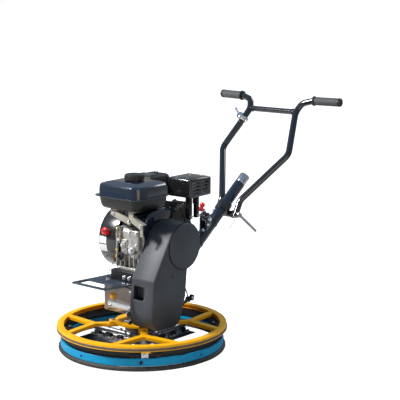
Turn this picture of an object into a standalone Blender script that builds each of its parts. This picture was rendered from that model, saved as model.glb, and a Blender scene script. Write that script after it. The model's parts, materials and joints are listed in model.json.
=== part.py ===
"""A 24 inch edging power trowel: a walk-behind machine that smooths wet concrete with four blades.

Metres, +Z up, +Y towards the operator, +X towards the belt guard. Every measure below is taken from the
point of the floor on the vertical axis that the blades turn about; the last step then moves the finished
machine so that the origin lies on the floor under the middle of its outline. Every part is its own
closed solid.
"""

import math

import bmesh
import bpy
from mathutils import Matrix, Vector

# Rotor and rings, about the Z axis
RING_R = 0.305
RING_TOP = 0.095
RING_BOTTOM = 0.0755
SKIRT_R, SKIRT_BOTTOM = 0.2865, 0.048
RING_WALL = 0.0035
FLANGE_INNER_R = 0.281
EDGE_BAND_R = 0.293
EDGE_BAND_LOW, EDGE_BAND_HIGH = 0.0209, 0.048
EDGE_FLANGE_R = 0.270
EDGE_FLANGE_Z = 0.0415
BUMPER_R = 0.2925
BUMPER_TUBE_R = 0.0085
BUMPER_Z = 0.012
RING_STEPS = 48

ARM_LEVEL = 0.0885
ARM_HALF_WIDTH = 0.0115
ARM_THICK = 0.012
FORK_START = 0.172
FORK_ANGLE = math.radians(50)
HUB_PLATE_R = 0.098
HUB_PLATE_LOW, HUB_PLATE_HIGH = 0.0955, 0.103
HUB_HOLE_R = 0.0345

ROLLER_AXIS_R = 0.2585
ROLLER_R = 0.0165
ROLLER_GROOVE_R = 0.0105
ROLLER_LOW, ROLLER_HIGH = 0.034, 0.049

BLADE_COUNT = 4
BLADE_THICK = 0.0025
BLADE_INNER, BLADE_OUTER = 0.078, 0.258
BLADE_TRAILING, BLADE_LEADING = -0.035, 0.085
PITCH_AXIS_Z = 0.033
BLADE_ARM_R = 0.011
BLADE_ARM_INNER, BLADE_ARM_OUTER = 0.020, 0.236
SHAFT_R = 0.0125
THRUST_PLATE_LOW = 0.070
COLLAR_LOW, COLLAR_HIGH = 0.0768, 0.0885

YOKE_PIVOT = Vector((0.0, 0.062, 0.0845))
YOKE_EYE = Vector((0.0, 0.257, 0.124))

# Gearbox
GEARBOX_MIN = Vector((-0.093, -0.100, 0.145))
GEARBOX_MAX = Vector((0.050, 0.058, 0.2445))
GEARBOX_WALL = 0.008
NECK_R = 0.034
NECK_FLANGE_R = 0.054
NECK_FLANGE_LOW, NECK_FLANGE_HIGH = 0.1033, 0.1133
WORM_Y, WORM_Z = -0.042, 0.187
WORM_R = 0.0115
WORM_SHAFT_R = 0.009
WHEEL_R = 0.030
WHEEL_TEETH = 20
LID_TOP = 0.2537

# Deck and engine, the crank along X
DECK_LOW, DECK_HIGH = 0.254, 0.260
MOUNT_TOP = 0.2805
CRANK_Y, CRANK_Z = 0.050, 0.387
CRANKCASE_LEFT, CRANKCASE_RIGHT = -0.062, 0.052
CRANK_R = 0.0125
CYLINDER_TILT = math.radians(25)
FLYWHEEL_R = 0.086
BLOWER_R = 0.113
BLOWER_LEFT, BLOWER_RIGHT = -0.150, -0.066
SWITCH_ANGLE = math.radians(17)
SHEET = 0.002

# Belt drive and its guard, faces normal to X
GUARD_LEFT, GUARD_RIGHT = 0.0578, 0.160
GUARD_BACK_LEFT = 0.0552
GUARD_DISC_R = 0.0835
GUARD_BOSS_R = 0.0815
GUARD_BOSS_RISE = 0.0055
BELT_X = 0.112
CLUTCH_PULLEY_R = 0.034
DRIVEN_PULLEY_R = 0.060
BELT_THICK = 0.008

# Handle: the main tube climbs in the plane x = 0, and tubes are given by their centre lines
TUBE_ANGLE = math.atan(0.758)
TUBE_SEAM = Vector((0.0, 0.3852, 0.3857))
TUBE_R, TUBE_BORE_R = 0.0212, 0.0182
BASE_TUBE_LENGTH = 0.320
UPPER_TUBE_LENGTH = 0.2255
KNOB_LENGTH = 0.044
HINGE_RISE = 0.040
CLAMP_ALONG, CLAMP_DROP = 0.1005, 0.0351
BAR_R = 0.0125
BAR_PATH = [(0.0445, 0.4865, 0.4185), (0.0445, 0.514, 0.470), (0.162, 0.664, 0.641),
            (0.1115, 0.7785, 0.7927), (0.128, 0.800, 0.826), (0.174, 0.809, 0.838), (0.289, 0.8247, 0.838)]
CROSSBAR = (0.1115, 0.7785, 0.7927)
GRIP_R = 0.0165
GRIP_START, GRIP_END = Vector((0.174, 0.809, 0.838)), Vector((0.2925, 0.8252, 0.838))
THROTTLE_SHARE = 0.73
OUTLINE_MIDDLE_Y = 0.268
GAP = 0.0003

ALONG = Vector((0.0, math.cos(TUBE_ANGLE), math.sin(TUBE_ANGLE)))
ACROSS = Vector((0.0, -math.sin(TUBE_ANGLE), math.cos(TUBE_ANGLE)))


# --- scene and helper tools -------------------------------------------------------------------------

def clear_scene():
    for old in list(bpy.data.objects):
        bpy.data.objects.remove(old, do_unlink=True)


def make_collection(name):
    made = bpy.data.collections.new(name)
    bpy.context.scene.collection.children.link(made)
    return made


clear_scene()
MODEL = make_collection("power_trowel")
CUTTERS = make_collection("cutters")
CUTTERS.hide_render = True


def make_material(name, colour, roughness, metallic=0.0):
    made = bpy.data.materials.new(name)
    made.use_nodes = True
    shader = made.node_tree.nodes["Principled BSDF"]
    shader.inputs["Base Color"].default_value = (*colour, 1.0)
    shader.inputs["Roughness"].default_value = roughness
    shader.inputs["Metallic"].default_value = metallic
    return made


YELLOW = make_material("yellow_paint", (0.90, 0.42, 0.01), 0.35)
BLUE = make_material("blue_paint", (0.01, 0.33, 0.65), 0.35)
GREY = make_material("guard_grey", (0.10, 0.10, 0.11), 0.4)
NAVY = make_material("navy_paint", (0.01, 0.02, 0.045), 0.3)
BLACK = make_material("black_paint", (0.012, 0.012, 0.014), 0.35)
PLASTIC = make_material("black_plastic", (0.015, 0.015, 0.015), 0.5)
RUBBER = make_material("rubber", (0.03, 0.028, 0.026), 0.85)
CAST = make_material("cast_aluminium", (0.42, 0.40, 0.37), 0.5, 0.9)
STEEL = make_material("steel", (0.30, 0.30, 0.31), 0.35, 1.0)
BLADE_STEEL = make_material("blade_steel", (0.06, 0.06, 0.065), 0.45, 1.0)
CHROME = make_material("chrome", (0.75, 0.75, 0.76), 0.1, 1.0)
BRONZE = make_material("bronze", (0.55, 0.30, 0.10), 0.4, 1.0)
RED = make_material("red_plastic", (0.75, 0.01, 0.02), 0.35)


def evaluated_mesh(obj):
    bpy.context.view_layer.update()
    graph = bpy.context.evaluated_depsgraph_get()
    return bpy.data.meshes.new_from_object(obj.evaluated_get(graph))


def link(name, data, material, location=(0, 0, 0)):
    obj = bpy.data.objects.new(name, data)
    obj.matrix_world = Matrix.Translation(location)
    data.materials.clear()
    data.materials.append(material)
    MODEL.objects.link(obj)
    return obj


def as_mesh(obj):
    """Turn a curve, or an object with modifiers, into a plain welded mesh object."""
    mesh = evaluated_mesh(obj)
    shell = bmesh.new()
    shell.from_mesh(mesh)
    bmesh.ops.remove_doubles(shell, verts=shell.verts, dist=0.00002)
    shell.to_mesh(mesh)
    shell.free()
    name, matrix, material = obj.name, obj.matrix_world.copy(), obj.data.materials[0]
    bpy.data.objects.remove(obj, do_unlink=True)
    made = link(name, mesh, material)
    made.matrix_world = matrix
    return made


def boolean(body, operation, others):
    """Join or cut meshes exactly, then drop the helpers."""
    for other in others:
        CUTTERS.objects.link(other)
        MODEL.objects.unlink(other)
        other.display_type = "WIRE"
        other.hide_render = True
        step = body.modifiers.new(operation.lower(), "BOOLEAN")
        step.operation = operation
        step.solver = "EXACT"
        step.object = other
    mesh = evaluated_mesh(body)
    body.modifiers.clear()
    body.data = mesh
    for other in others:
        bpy.data.objects.remove(other, do_unlink=True)
    return body


def join(body, *others):
    return boolean(body, "UNION", [as_mesh(other) for other in others])


def cut(body, *others):
    return boolean(body, "DIFFERENCE", [as_mesh(other) for other in others])


def smooth(obj, degrees=35):
    obj.data.shade_smooth()
    obj.data.set_sharp_from_angle(angle=math.radians(degrees))
    return obj


def box(name, low, high, material=STEEL, bevel=0.0, segments=1):
    """A block between two corners, with its edges rounded by a Bevel."""
    low, high = Vector(low), Vector(high)
    mesh = bpy.data.meshes.new(name)
    block = bmesh.new()
    bmesh.ops.create_cube(block, size=1.0)
    bmesh.ops.scale(block, vec=high - low, verts=block.verts)
    if bevel:
        bmesh.ops.bevel(block, geom=block.edges, offset=bevel, segments=segments, affect="EDGES", profile=0.5)
    block.to_mesh(mesh)
    block.free()
    return link(name, mesh, material, (low + high) / 2)


def rotation_to(axis):
    """The rotation that carries local +Z onto an axis."""
    return Vector((0, 0, 1)).rotation_difference(Vector(axis).normalized()).to_matrix().to_4x4()


def rod(name, start, end, radius, material=STEEL, sides=16):
    """A plain round bar between two points."""
    start, end = Vector(start), Vector(end)
    mesh = bpy.data.meshes.new(name)
    bar = bmesh.new()
    bmesh.ops.create_cone(bar, cap_ends=True, segments=sides, radius1=radius, radius2=radius,
                          depth=(end - start).length)
    bar.to_mesh(mesh)
    bar.free()
    obj = link(name, mesh, material)
    obj.matrix_world = Matrix.Translation((start + end) / 2) @ rotation_to(end - start)
    return smooth(obj)


def ball(name, centre, radius, material):
    mesh = bpy.data.meshes.new(name)
    globe = bmesh.new()
    bmesh.ops.create_uvsphere(globe, u_segments=12, v_segments=8, radius=radius)
    globe.to_mesh(mesh)
    globe.free()
    return smooth(link(name, mesh, material, centre))


def turned(name, profile, material, origin=(0, 0, 0), axis=(0, 0, 1), steps=24, closed=False):
    """Turn a profile of (radius, height) about an axis. It runs down the outer side, top to bottom."""
    points = [(radius, 0.0, height) for radius, height in profile]
    edges = [(index, index + 1) for index in range(len(points) - 1)]
    if closed:
        edges.append((len(points) - 1, 0))
    mesh = bpy.data.meshes.new(name)
    mesh.from_pydata(points, edges, [])
    obj = link(name, mesh, material)
    obj.matrix_world = Matrix.Translation(origin) @ rotation_to(axis)
    screw = obj.modifiers.new("turn", "SCREW")
    screw.steps = steps
    screw.render_steps = steps
    screw.use_merge_vertices = True
    screw.merge_threshold = 0.00005
    return smooth(as_mesh(obj))


def tube(name, points, radius, material, sides=12, origin=(0, 0, 0)):
    """A round bar along a polyline, with filled ends."""
    curve = bpy.data.curves.new(name, "CURVE")
    curve.dimensions = "3D"
    curve.bevel_depth = radius
    curve.bevel_resolution = sides // 4 - 1
    curve.use_fill_caps = True
    spline = curve.splines.new("POLY")
    spline.points.add(len(points) - 1)
    for target, point in zip(spline.points, points):
        target.co = (*(Vector(point) - Vector(origin)), 1.0)
    return link(name, curve, material, origin)


def plate(name, outline, thick, matrix, material=STEEL):
    """A flat sheet: a closed outline in local X and Y, extruded half its thickness both ways."""
    curve = bpy.data.curves.new(name, "CURVE")
    curve.dimensions = "2D"
    curve.fill_mode = "BOTH"
    curve.extrude = thick / 2
    spline = curve.splines.new("POLY")
    spline.points.add(len(outline) - 1)
    for target, point in zip(spline.points, outline):
        target.co = (point[0], point[1], 0.0, 1.0)
    spline.use_cyclic_u = True
    obj = link(name, curve, material)
    obj.matrix_world = matrix
    return as_mesh(obj)


def lying(z):
    """Local X, Y are world X, Y, at a height."""
    return Matrix.Translation((0, 0, z))


def facing_x(x):
    """Local X, Y are world Y, Z, so that the sheet's normal is +X."""
    return Matrix.Translation((x, 0, 0)) @ Matrix(((0, 0, 1, 0), (1, 0, 0, 0), (0, 1, 0, 0), (0, 0, 0, 1)))


def along_tube(x=0.0):
    """Local X runs up the main tube and local Y across it, from the seam's centre; normal +X."""
    return Matrix((
        (0, 0, 1, TUBE_SEAM.x + x),
        (ALONG.y, ACROSS.y, 0, TUBE_SEAM.y),
        (ALONG.z, ACROSS.z, 0, TUBE_SEAM.z),
        (0, 0, 0, 1),
    ))


def on_tube(along, across=0.0, x=0.0):
    """A point given by its distance up the main tube and its height above the tube's centre line."""
    return TUBE_SEAM + ALONG * along + ACROSS * across + Vector((x, 0, 0))


def arc(centre, radius, start, end, steps):
    """Points on an arc, angles in degrees."""
    turns = [math.radians(start + (end - start) * step / steps) for step in range(steps + 1)]
    return [(centre[0] + radius * math.cos(turn), centre[1] + radius * math.sin(turn)) for turn in turns]


def rounded(corners, closed=True):
    """Round the corners of a path, given as (x, y, radius, steps) or (x, y, z, radius, steps)."""
    path = []
    count = len(corners)
    for index, (*spot, radius, steps) in enumerate(corners):
        here = Vector(spot)
        if radius == 0 or (not closed and index in (0, count - 1)):
            path.append(tuple(here))
            continue
        back = (Vector(corners[index - 1][:-2]) - here).normalized()
        ahead = (Vector(corners[(index + 1) % count][:-2]) - here).normalized()
        half = back.angle(ahead) / 2
        reach = radius / math.tan(half)
        centre = here + (back + ahead).normalized() * radius / math.sin(half)
        first, last = here + back * reach - centre, here + ahead * reach - centre
        sweep = first.angle(last)
        for step in range(steps + 1):
            share = step / steps
            mix = first * math.sin((1 - share) * sweep) + last * math.sin(share * sweep)
            path.append(tuple(centre + mix / math.sin(sweep)))
    return path


def inset(outline, distance):
    """Move each point of a closed, anticlockwise outline inwards."""
    moved = []
    for index, point in enumerate(outline):
        here, before = Vector(point), Vector(outline[index - 1])
        after = Vector(outline[(index + 1) % len(outline)])
        normal = ((here - before).normalized() + (after - here).normalized()).normalized()
        moved.append((here.x - normal.y * distance, here.y + normal.x * distance))
    return moved


def smooth_path(points, spacing):
    """Points at an even spacing on a Catmull-Rom curve through the given points."""
    knots = [Vector(point) for point in points]
    knots = [2 * knots[0] - knots[1], *knots, 2 * knots[-1] - knots[-2]]
    path = []
    for index in range(1, len(knots) - 2):
        before, start, end, after = knots[index - 1:index + 3]
        steps = max(2, round((end - start).length / spacing))
        for step in range(steps):
            t = step / steps
            path.append(0.5 * (2 * start + (end - before) * t + (2 * before - 5 * start + 4 * end - after) * t * t
                               + (3 * start - before - 3 * end + after) * t ** 3))
    path.append(knots[-2])
    return path


def spun(obj, angle):
    """Turn an object about the rotor's axis."""
    obj.matrix_world = Matrix.Rotation(angle, 4, "Z") @ obj.matrix_world
    return obj


def hang_on(joint, location, *parts):
    """Parent moving parts to an empty that stands on their joint's axis."""
    empty = bpy.data.objects.new(joint, None)
    empty.location = location
    empty.empty_display_size = 0.02
    MODEL.objects.link(empty)
    bpy.context.view_layer.update()
    for part in parts:
        part.parent = empty
        part.matrix_parent_inverse = empty.matrix_world.inverted()
    return empty


# --- rotor: shaft, spider, arms, blades and pitch parts -----------------------------------------------

def output_shaft():
    profile = [(0, 0.222), (0.0115, 0.222), (SHAFT_R, 0.220), (SHAFT_R, 0.048), (0, 0.048)]
    return turned("output_shaft", profile, STEEL, steps=16)


def worm_wheel():
    tooth = math.tau / WHEEL_TEETH
    outline = []
    for index in range(WHEEL_TEETH):
        for share, radius in ((-0.30, 0.0265), (-0.14, WHEEL_R), (0.14, WHEEL_R), (0.30, 0.0265)):
            turn = (index + share) * tooth
            outline.append((radius * math.cos(turn), radius * math.sin(turn)))
    wheel = plate("worm_wheel", outline, 0.018, lying(WORM_Z), BRONZE)
    return cut(wheel, rod("bore", (0, 0, 0.16), (0, 0, 0.22), SHAFT_R + 0.0005, sides=16))


def spider_hub():
    hub = turned("spider_hub", [(0, 0.060), (0.040, 0.060), (0.045, 0.055), (0.045, 0.020), (0.042, 0.018),
                                (0, 0.018)], STEEL, steps=24)
    bore_r = BLADE_ARM_R + 0.0008
    across = [rod("bore", (-0.05, 0, PITCH_AXIS_Z), (0.05, 0, PITCH_AXIS_Z), bore_r),
              rod("bore", (0, -0.05, PITCH_AXIS_Z), (0, 0.05, PITCH_AXIS_Z), bore_r),
              rod("bore", (0, 0, 0.0475), (0, 0, 0.07), SHAFT_R + 0.0004)]
    return cut(hub, *across)


def trowel_arm(index):
    """A round arm with the short lever that the thrust plate pushes on its trailing side."""
    name = f"trowel_arm_{index + 1}"
    arm = rod(name, (BLADE_ARM_INNER, 0, PITCH_AXIS_Z), (BLADE_ARM_OUTER, 0, PITCH_AXIS_Z), BLADE_ARM_R, sides=14)
    lever = box("lever", (0.050, -0.036, 0.0365), (0.060, 0.0, 0.0435), bevel=0.001)
    screw = rod("screw", (0.055, -0.030, 0.040), (0.055, -0.030, THRUST_PLATE_LOW - GAP), 0.004, sides=10)
    return spun(join(arm, lever, screw), index * math.tau / BLADE_COUNT)


def trowel_blade(index):
    """A flat blade with the bar and three pads that carry it under its arm."""
    name = f"trowel_blade_{index + 1}"
    blade = box(name, (BLADE_INNER, BLADE_TRAILING, 0), (BLADE_OUTER, BLADE_LEADING, BLADE_THICK), BLADE_STEEL)
    bar = box("bar", (0.085, -0.019, BLADE_THICK - GAP), (0.245, 0.019, 0.008))
    pads = [box("pad", (x - 0.012, -0.009, 0.007), (x + 0.012, 0.009, PITCH_AXIS_Z - BLADE_ARM_R - GAP))
            for x in (0.105, 0.165, 0.222)]
    return spun(join(blade, bar, *pads), index * math.tau / BLADE_COUNT)


def thrust_plate():
    low = THRUST_PLATE_LOW
    profile = [(0.062, low + 0.005), (0.062, low), (SHAFT_R + 0.0005, low), (SHAFT_R + 0.0005, low + 0.0063),
               (0.030, low + 0.0063), (0.031, low + 0.005)]
    return turned("thrust_plate", profile, STEEL, steps=24, closed=True)


def thrust_collar():
    bore = SHAFT_R + 0.0035
    profile = [(0.029, COLLAR_HIGH), (0.029, COLLAR_LOW), (bore, COLLAR_LOW), (bore, COLLAR_HIGH)]
    return turned("thrust_collar", profile, STEEL, steps=24, closed=True)


def pitch_yoke():
    """The fork that presses the collar down when the cable lifts its far end."""
    pivot, eye = YOKE_PIVOT, YOKE_EYE
    yoke = rod("pitch_yoke", (-0.0292, pivot.y, pivot.z), (0.0292, pivot.y, pivot.z), 0.0075, BLACK, sides=14)
    prongs = [box("prong", (x - 0.0045, 0.002, COLLAR_HIGH + 0.0004), (x + 0.0045, pivot.y, 0.0945), BLACK)
              for x in (-0.023, 0.023)]
    path = rounded([(0, pivot.y + 0.002, 0.0825, 0, 1), (0, 0.125, 0.0825, 0.05, 4),
                    (0, eye.y - 0.009, eye.z - 0.004, 0, 1)], closed=False)
    arm = tube("arm", path, 0.006, BLACK)
    eye_ring = rod("eye", (-0.006, eye.y, eye.z), (0.006, eye.y, eye.z), 0.011, BLACK)
    yoke = join(yoke, *prongs, arm, eye_ring)
    return cut(yoke, rod("pin_hole", (-0.04, pivot.y, pivot.z), (0.04, pivot.y, pivot.z), 0.0043),
               rod("eye_hole", (-0.01, eye.y, eye.z), (0.01, eye.y, eye.z), 0.005))


# --- guard ring, edge ring and rollers --------------------------------------------------------------

def fork_outline():
    """One Y-shaped spoke along +X: a stem from the hub that splits into two branches to the rim."""
    start, width, reach = 0.088, ARM_HALF_WIDTH, 0.287
    side = Vector((math.cos(FORK_ANGLE), math.sin(FORK_ANGLE)))
    normal = Vector((-side.y, side.x))
    root = Vector((FORK_START, 0))
    outer_bend = (root + normal * width).lerp(root, 0) - side * ((normal.y * width - width) / side.y)
    crotch = root - normal * width + side * (normal.y * width / side.y)
    tip = root + side * ((reach - FORK_START) / (side.x + 0.12))
    half = [(start, width), tuple(outer_bend), tuple(tip + normal * width), tuple(tip - normal * width)]
    lower = [(x, -y) for x, y in half]
    return lower + [tuple(crotch)] + half[::-1]


def guard_ring():
    """The fixed top ring with its skirt, four forked spokes, hub plate, roller bolts and the yoke's two ears."""
    profile = [(RING_R, RING_TOP), (RING_R, RING_BOTTOM), (SKIRT_R, RING_BOTTOM), (SKIRT_R, SKIRT_BOTTOM),
               (SKIRT_R - RING_WALL, SKIRT_BOTTOM), (SKIRT_R - RING_WALL, RING_BOTTOM + RING_WALL),
               (RING_R - RING_WALL, RING_BOTTOM + RING_WALL), (RING_R - RING_WALL, RING_TOP - RING_WALL),
               (FLANGE_INNER_R, RING_TOP - RING_WALL), (FLANGE_INNER_R, RING_TOP)]
    ring = turned("guard_ring", profile, YELLOW, steps=RING_STEPS, closed=True)
    hub = turned("hub", [(0, HUB_PLATE_HIGH), (HUB_PLATE_R, HUB_PLATE_HIGH), (HUB_PLATE_R, HUB_PLATE_LOW),
                         (0, HUB_PLATE_LOW)], YELLOW, steps=32)
    pieces = [hub]
    for index in range(4):
        angle = math.radians(45 + 90 * index)
        pieces.append(spun(plate("spoke", fork_outline(), ARM_THICK, lying(ARM_LEVEL)), angle))
        pieces.append(spun(box("lug", (0.084, -0.016, 0.083), (0.118, 0.016, HUB_PLATE_HIGH)), angle))
        pieces.append(spun(box("tab", (0.246, -0.016, 0.0700), (0.302, 0.016, 0.0775)), angle))
        bolt = turned("bolt", [(0, 0.0830), (0.0075, 0.0830), (0.0075, 0.0765), (0.004, 0.0765), (0.004, 0.0705),
                               (0.0065, 0.0705), (0.0065, 0.0497), (0.004, 0.0497), (0.004, 0.0335),
                               (0.0065, 0.0335), (0.0065, 0.0285), (0, 0.0285)], YELLOW,
                      origin=(ROLLER_AXIS_R, 0, 0), steps=8)
        pieces.append(spun(bolt, angle))
    pivot = YOKE_PIVOT
    for x in (-0.033, 0.033):
        pieces.append(box("ear", (x - 0.003, pivot.y - 0.008, 0.077), (x + 0.003, pivot.y + 0.008, 0.097)))
    ring = join(ring, *pieces)
    hole = rod("hole", (0, 0, 0.09), (0, 0, 0.11), HUB_HOLE_R, sides=24)
    pin_hole = rod("pin_hole", (-0.04, pivot.y, pivot.z), (0.04, pivot.y, pivot.z), 0.0043)
    return smooth(cut(ring, hole, pin_hole), 30)


def edge_ring():
    """The turning lower ring: a band with an inward flange that the rollers hold."""
    inner = EDGE_BAND_R - 0.003
    profile = [(EDGE_BAND_R, EDGE_BAND_HIGH), (EDGE_BAND_R, EDGE_BAND_LOW), (inner, EDGE_BAND_LOW),
               (inner, EDGE_FLANGE_Z - 0.002), (EDGE_FLANGE_R, EDGE_FLANGE_Z - 0.002),
               (EDGE_FLANGE_R, EDGE_FLANGE_Z + 0.002), (inner, EDGE_FLANGE_Z + 0.002), (inner, EDGE_BAND_HIGH)]
    return turned("edge_ring", profile, BLUE, steps=RING_STEPS, closed=True)


def edge_bumper():
    sides = 8
    profile = []
    for index in range(sides):
        turn = math.radians(90 - 360 * (index + 0.5) / sides)
        profile.append((BUMPER_R + BUMPER_TUBE_R * math.cos(turn) / math.cos(math.pi / sides),
                        BUMPER_Z + BUMPER_TUBE_R * math.sin(turn) / math.cos(math.pi / sides)))
    return turned("edge_bumper", profile, RUBBER, steps=RING_STEPS, closed=True)


def ring_roller(index):
    """A grooved roller whose groove holds the edge ring's flange."""
    mid, waist = EDGE_FLANGE_Z, 0.003
    profile = [(ROLLER_R, ROLLER_HIGH), (ROLLER_R, mid + waist + 0.0005), (ROLLER_GROOVE_R, mid + waist),
               (ROLLER_GROOVE_R, mid - waist), (ROLLER_R, mid - waist - 0.0005), (ROLLER_R, ROLLER_LOW),
               (0.0047, ROLLER_LOW), (0.0047, ROLLER_HIGH)]
    angle = math.radians(45 + 90 * index)
    place = (ROLLER_AXIS_R * math.cos(angle), ROLLER_AXIS_R * math.sin(angle), 0)
    return turned(f"ring_roller_{index + 1}", profile, CHROME, origin=place, steps=16, closed=True)


# --- gearbox ----------------------------------------------------------------------------------------

def gearbox_housing():
    low, high, wall = GEARBOX_MIN, GEARBOX_MAX, GEARBOX_WALL
    case = box("gearbox_housing", low, high, CAST, bevel=0.004)
    neck = turned("neck", [(0, low.z + 0.004), (NECK_R, low.z + 0.004), (NECK_R, NECK_FLANGE_HIGH),
                           (NECK_FLANGE_R, NECK_FLANGE_HIGH), (NECK_FLANGE_R, NECK_FLANGE_LOW),
                           (0, NECK_FLANGE_LOW)], CAST, steps=24)
    case = join(case, neck)
    hollow = box("hollow", low + Vector((wall, wall, wall)), high + Vector((-wall, -wall, wall)))
    shaft_bore = rod("bore", (0, 0, 0.09), (0, 0, 0.17), SHAFT_R + 0.0008)
    worm_bore = rod("bore", (0.03, WORM_Y, WORM_Z), (0.07, WORM_Y, WORM_Z), WORM_SHAFT_R + 0.0008)
    return cut(case, hollow, shaft_bore, worm_bore)


def gearbox_cover():
    low = (GEARBOX_MIN.x, GEARBOX_MIN.y, GEARBOX_MAX.z + GAP)
    high = (GEARBOX_MAX.x, GEARBOX_MAX.y, LID_TOP)
    return box("gearbox_cover", low, high, CAST, bevel=0.002)


def worm_shaft():
    """The input shaft with the worm on it, along +X from the gearbox's far wall to the driven pulley."""
    worm = [(0, 0.126), (0.008, 0.126), (0.008, 0.090), (WORM_SHAFT_R, 0.089), (WORM_SHAFT_R, 0.034)]
    for index in range(5):
        crest = 0.026 - index * 0.011
        worm += [(WORM_R - 0.003, crest + 0.002), (WORM_R, crest - 0.0005), (WORM_R, crest - 0.0035),
                 (WORM_R - 0.003, crest - 0.006)]
    worm += [(WORM_SHAFT_R, -0.034), (WORM_SHAFT_R, -0.084), (0, -0.084)]
    return turned("worm_shaft", worm, STEEL, origin=(0, WORM_Y, WORM_Z), axis=(1, 0, 0), steps=12)


# --- deck and engine --------------------------------------------------------------------------------

def deck_plate():
    """The steel deck between gearbox and engine, drawn out in front into a carrying loop."""
    outline = rounded([(-0.144, -0.213, 0.008, 2), (0.019, -0.213, 0.010, 2), (0.050, -0.105, 0.012, 2),
                       (0.050, 0.135, 0, 1), (-0.098, 0.135, 0.010, 2), (-0.111, 0.0, 0.02, 2)])
    deck = plate("deck_plate", outline, DECK_HIGH - DECK_LOW, lying((DECK_LOW + DECK_HIGH) / 2), NAVY)
    slot = rounded([(-0.124, -0.199, 0.006, 2), (0.004, -0.199, 0.006, 2), (0.012, -0.152, 0.006, 2),
                    (-0.117, -0.150, 0.006, 2)])
    return cut(deck, plate("slot", slot, 0.02, lying(DECK_LOW)))


def engine_mount():
    """Two rails and a front rail on a thin cross plate that lift the engine off the deck."""
    low = DECK_HIGH + GAP
    base = box("engine_mount", (-0.080, -0.030, low), (0.048, 0.090, low + 0.004), BLACK)
    rails = [box("rail", (-0.080, -0.072, low), (-0.045, 0.128, MOUNT_TOP), BLACK, bevel=0.0015),
             box("rail", (0.010, -0.072, low), (0.048, 0.128, MOUNT_TOP), BLACK, bevel=0.0015)]
    front = box("front", (-0.066, -0.090, low), (0.048, -0.0655, MOUNT_TOP + 0.016), BLACK, bevel=0.0015)
    return join(base, *rails, front)


def crankcase():
    left, right, low = CRANKCASE_LEFT, CRANKCASE_RIGHT, MOUNT_TOP + GAP
    case = box("crankcase", (left, -0.048, low + 0.008), (right, 0.120, 0.448), CAST, bevel=0.008, segments=2)
    foot = box("foot", (left, -0.062, low), (right, 0.130, low + 0.012), CAST)
    shoulder = box("shoulder", (left + 0.01, -0.060, 0.330), (right - 0.01, 0.0, 0.445), CAST, bevel=0.012)
    boss = rod("boss", (right - 0.02, CRANK_Y, CRANK_Z), (right + 0.0028, CRANK_Y, CRANK_Z), 0.045, CAST)
    case = join(case, foot, shoulder, boss)
    return cut(case, rod("bore", (-0.1, CRANK_Y, CRANK_Z), (0.1, CRANK_Y, CRANK_Z), CRANK_R + 0.003))


def crankshaft():
    """The crankshaft's ends and its thicker journal, along +X."""
    profile = [(0, 0.147), (0.009, 0.147), (0.010, 0.146), (0.010, 0.050), (CRANK_R, 0.048), (CRANK_R, -0.060),
               (0.010, -0.062), (0.010, -0.142), (0, -0.142)]
    return turned("crankshaft", profile, STEEL, origin=(0, CRANK_Y, CRANK_Z), axis=(1, 0, 0), steps=16)


def cylinder_frame(distance):
    """A frame whose local +Z runs up the tilted cylinder, at a distance from the crank."""
    turn = Matrix.Rotation(-(math.pi / 2 - CYLINDER_TILT), 4, "X")
    spot = Vector((-0.005, CRANK_Y, CRANK_Z)) + turn.to_3x3() @ Vector((0, 0, distance))
    return Matrix.Translation(spot) @ turn


def tilted(obj, distance):
    obj.matrix_world = cylinder_frame(distance) @ obj.matrix_world
    return obj


def cylinder():
    """The finned barrel."""
    barrel = tilted(box("cylinder", (-0.036, -0.036, 0.0), (0.036, 0.036, 0.052), CAST), 0.095)
    fins = [tilted(box("fin", (-0.047, -0.047, 0.004 + 0.0085 * index), (0.047, 0.047, 0.0075 + 0.0085 * index)),
                   0.095) for index in range(6)]
    return join(barrel, *fins)


def cylinder_head():
    """The finned head with its rocker cover, one bolted stack."""
    head = tilted(box("cylinder_head", (-0.044, -0.048, 0.0), (0.044, 0.048, 0.030), CAST, bevel=0.003), 0.1475)
    fins = [tilted(box("fin", (-0.052, -0.052, 0.003 + 0.009 * index), (0.052, 0.052, 0.0068 + 0.009 * index)),
                   0.1475) for index in range(3)]
    cover = tilted(box("rocker_cover", (-0.036, -0.040, 0.028), (0.036, 0.040, 0.056), CAST, bevel=0.006), 0.1475)
    return join(head, *fins, cover)


def blower_outline(radius, floor):
    """A circle about the crank with a flat bottom, as points in Y and Z."""
    low = math.degrees(math.asin((floor - CRANK_Z) / radius))
    return arc((CRANK_Y, CRANK_Z), radius, low, 180 - low, 26)


def blower_housing():
    """The fan cover: a cup that is open towards the engine, with a round hole for the starter."""
    depth = BLOWER_RIGHT - BLOWER_LEFT
    middle = (BLOWER_LEFT + BLOWER_RIGHT) / 2
    cup = plate("blower_housing", blower_outline(BLOWER_R, 0.285), depth, facing_x(middle), BLACK)
    hollow = plate("hollow", blower_outline(BLOWER_R - SHEET, 0.285 + SHEET), depth, facing_x(middle + SHEET))
    hole = rod("hole", (-0.2, CRANK_Y, CRANK_Z), (-0.1, CRANK_Y, CRANK_Z), 0.070, sides=28)
    return smooth(cut(cup, hollow, hole))


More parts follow.
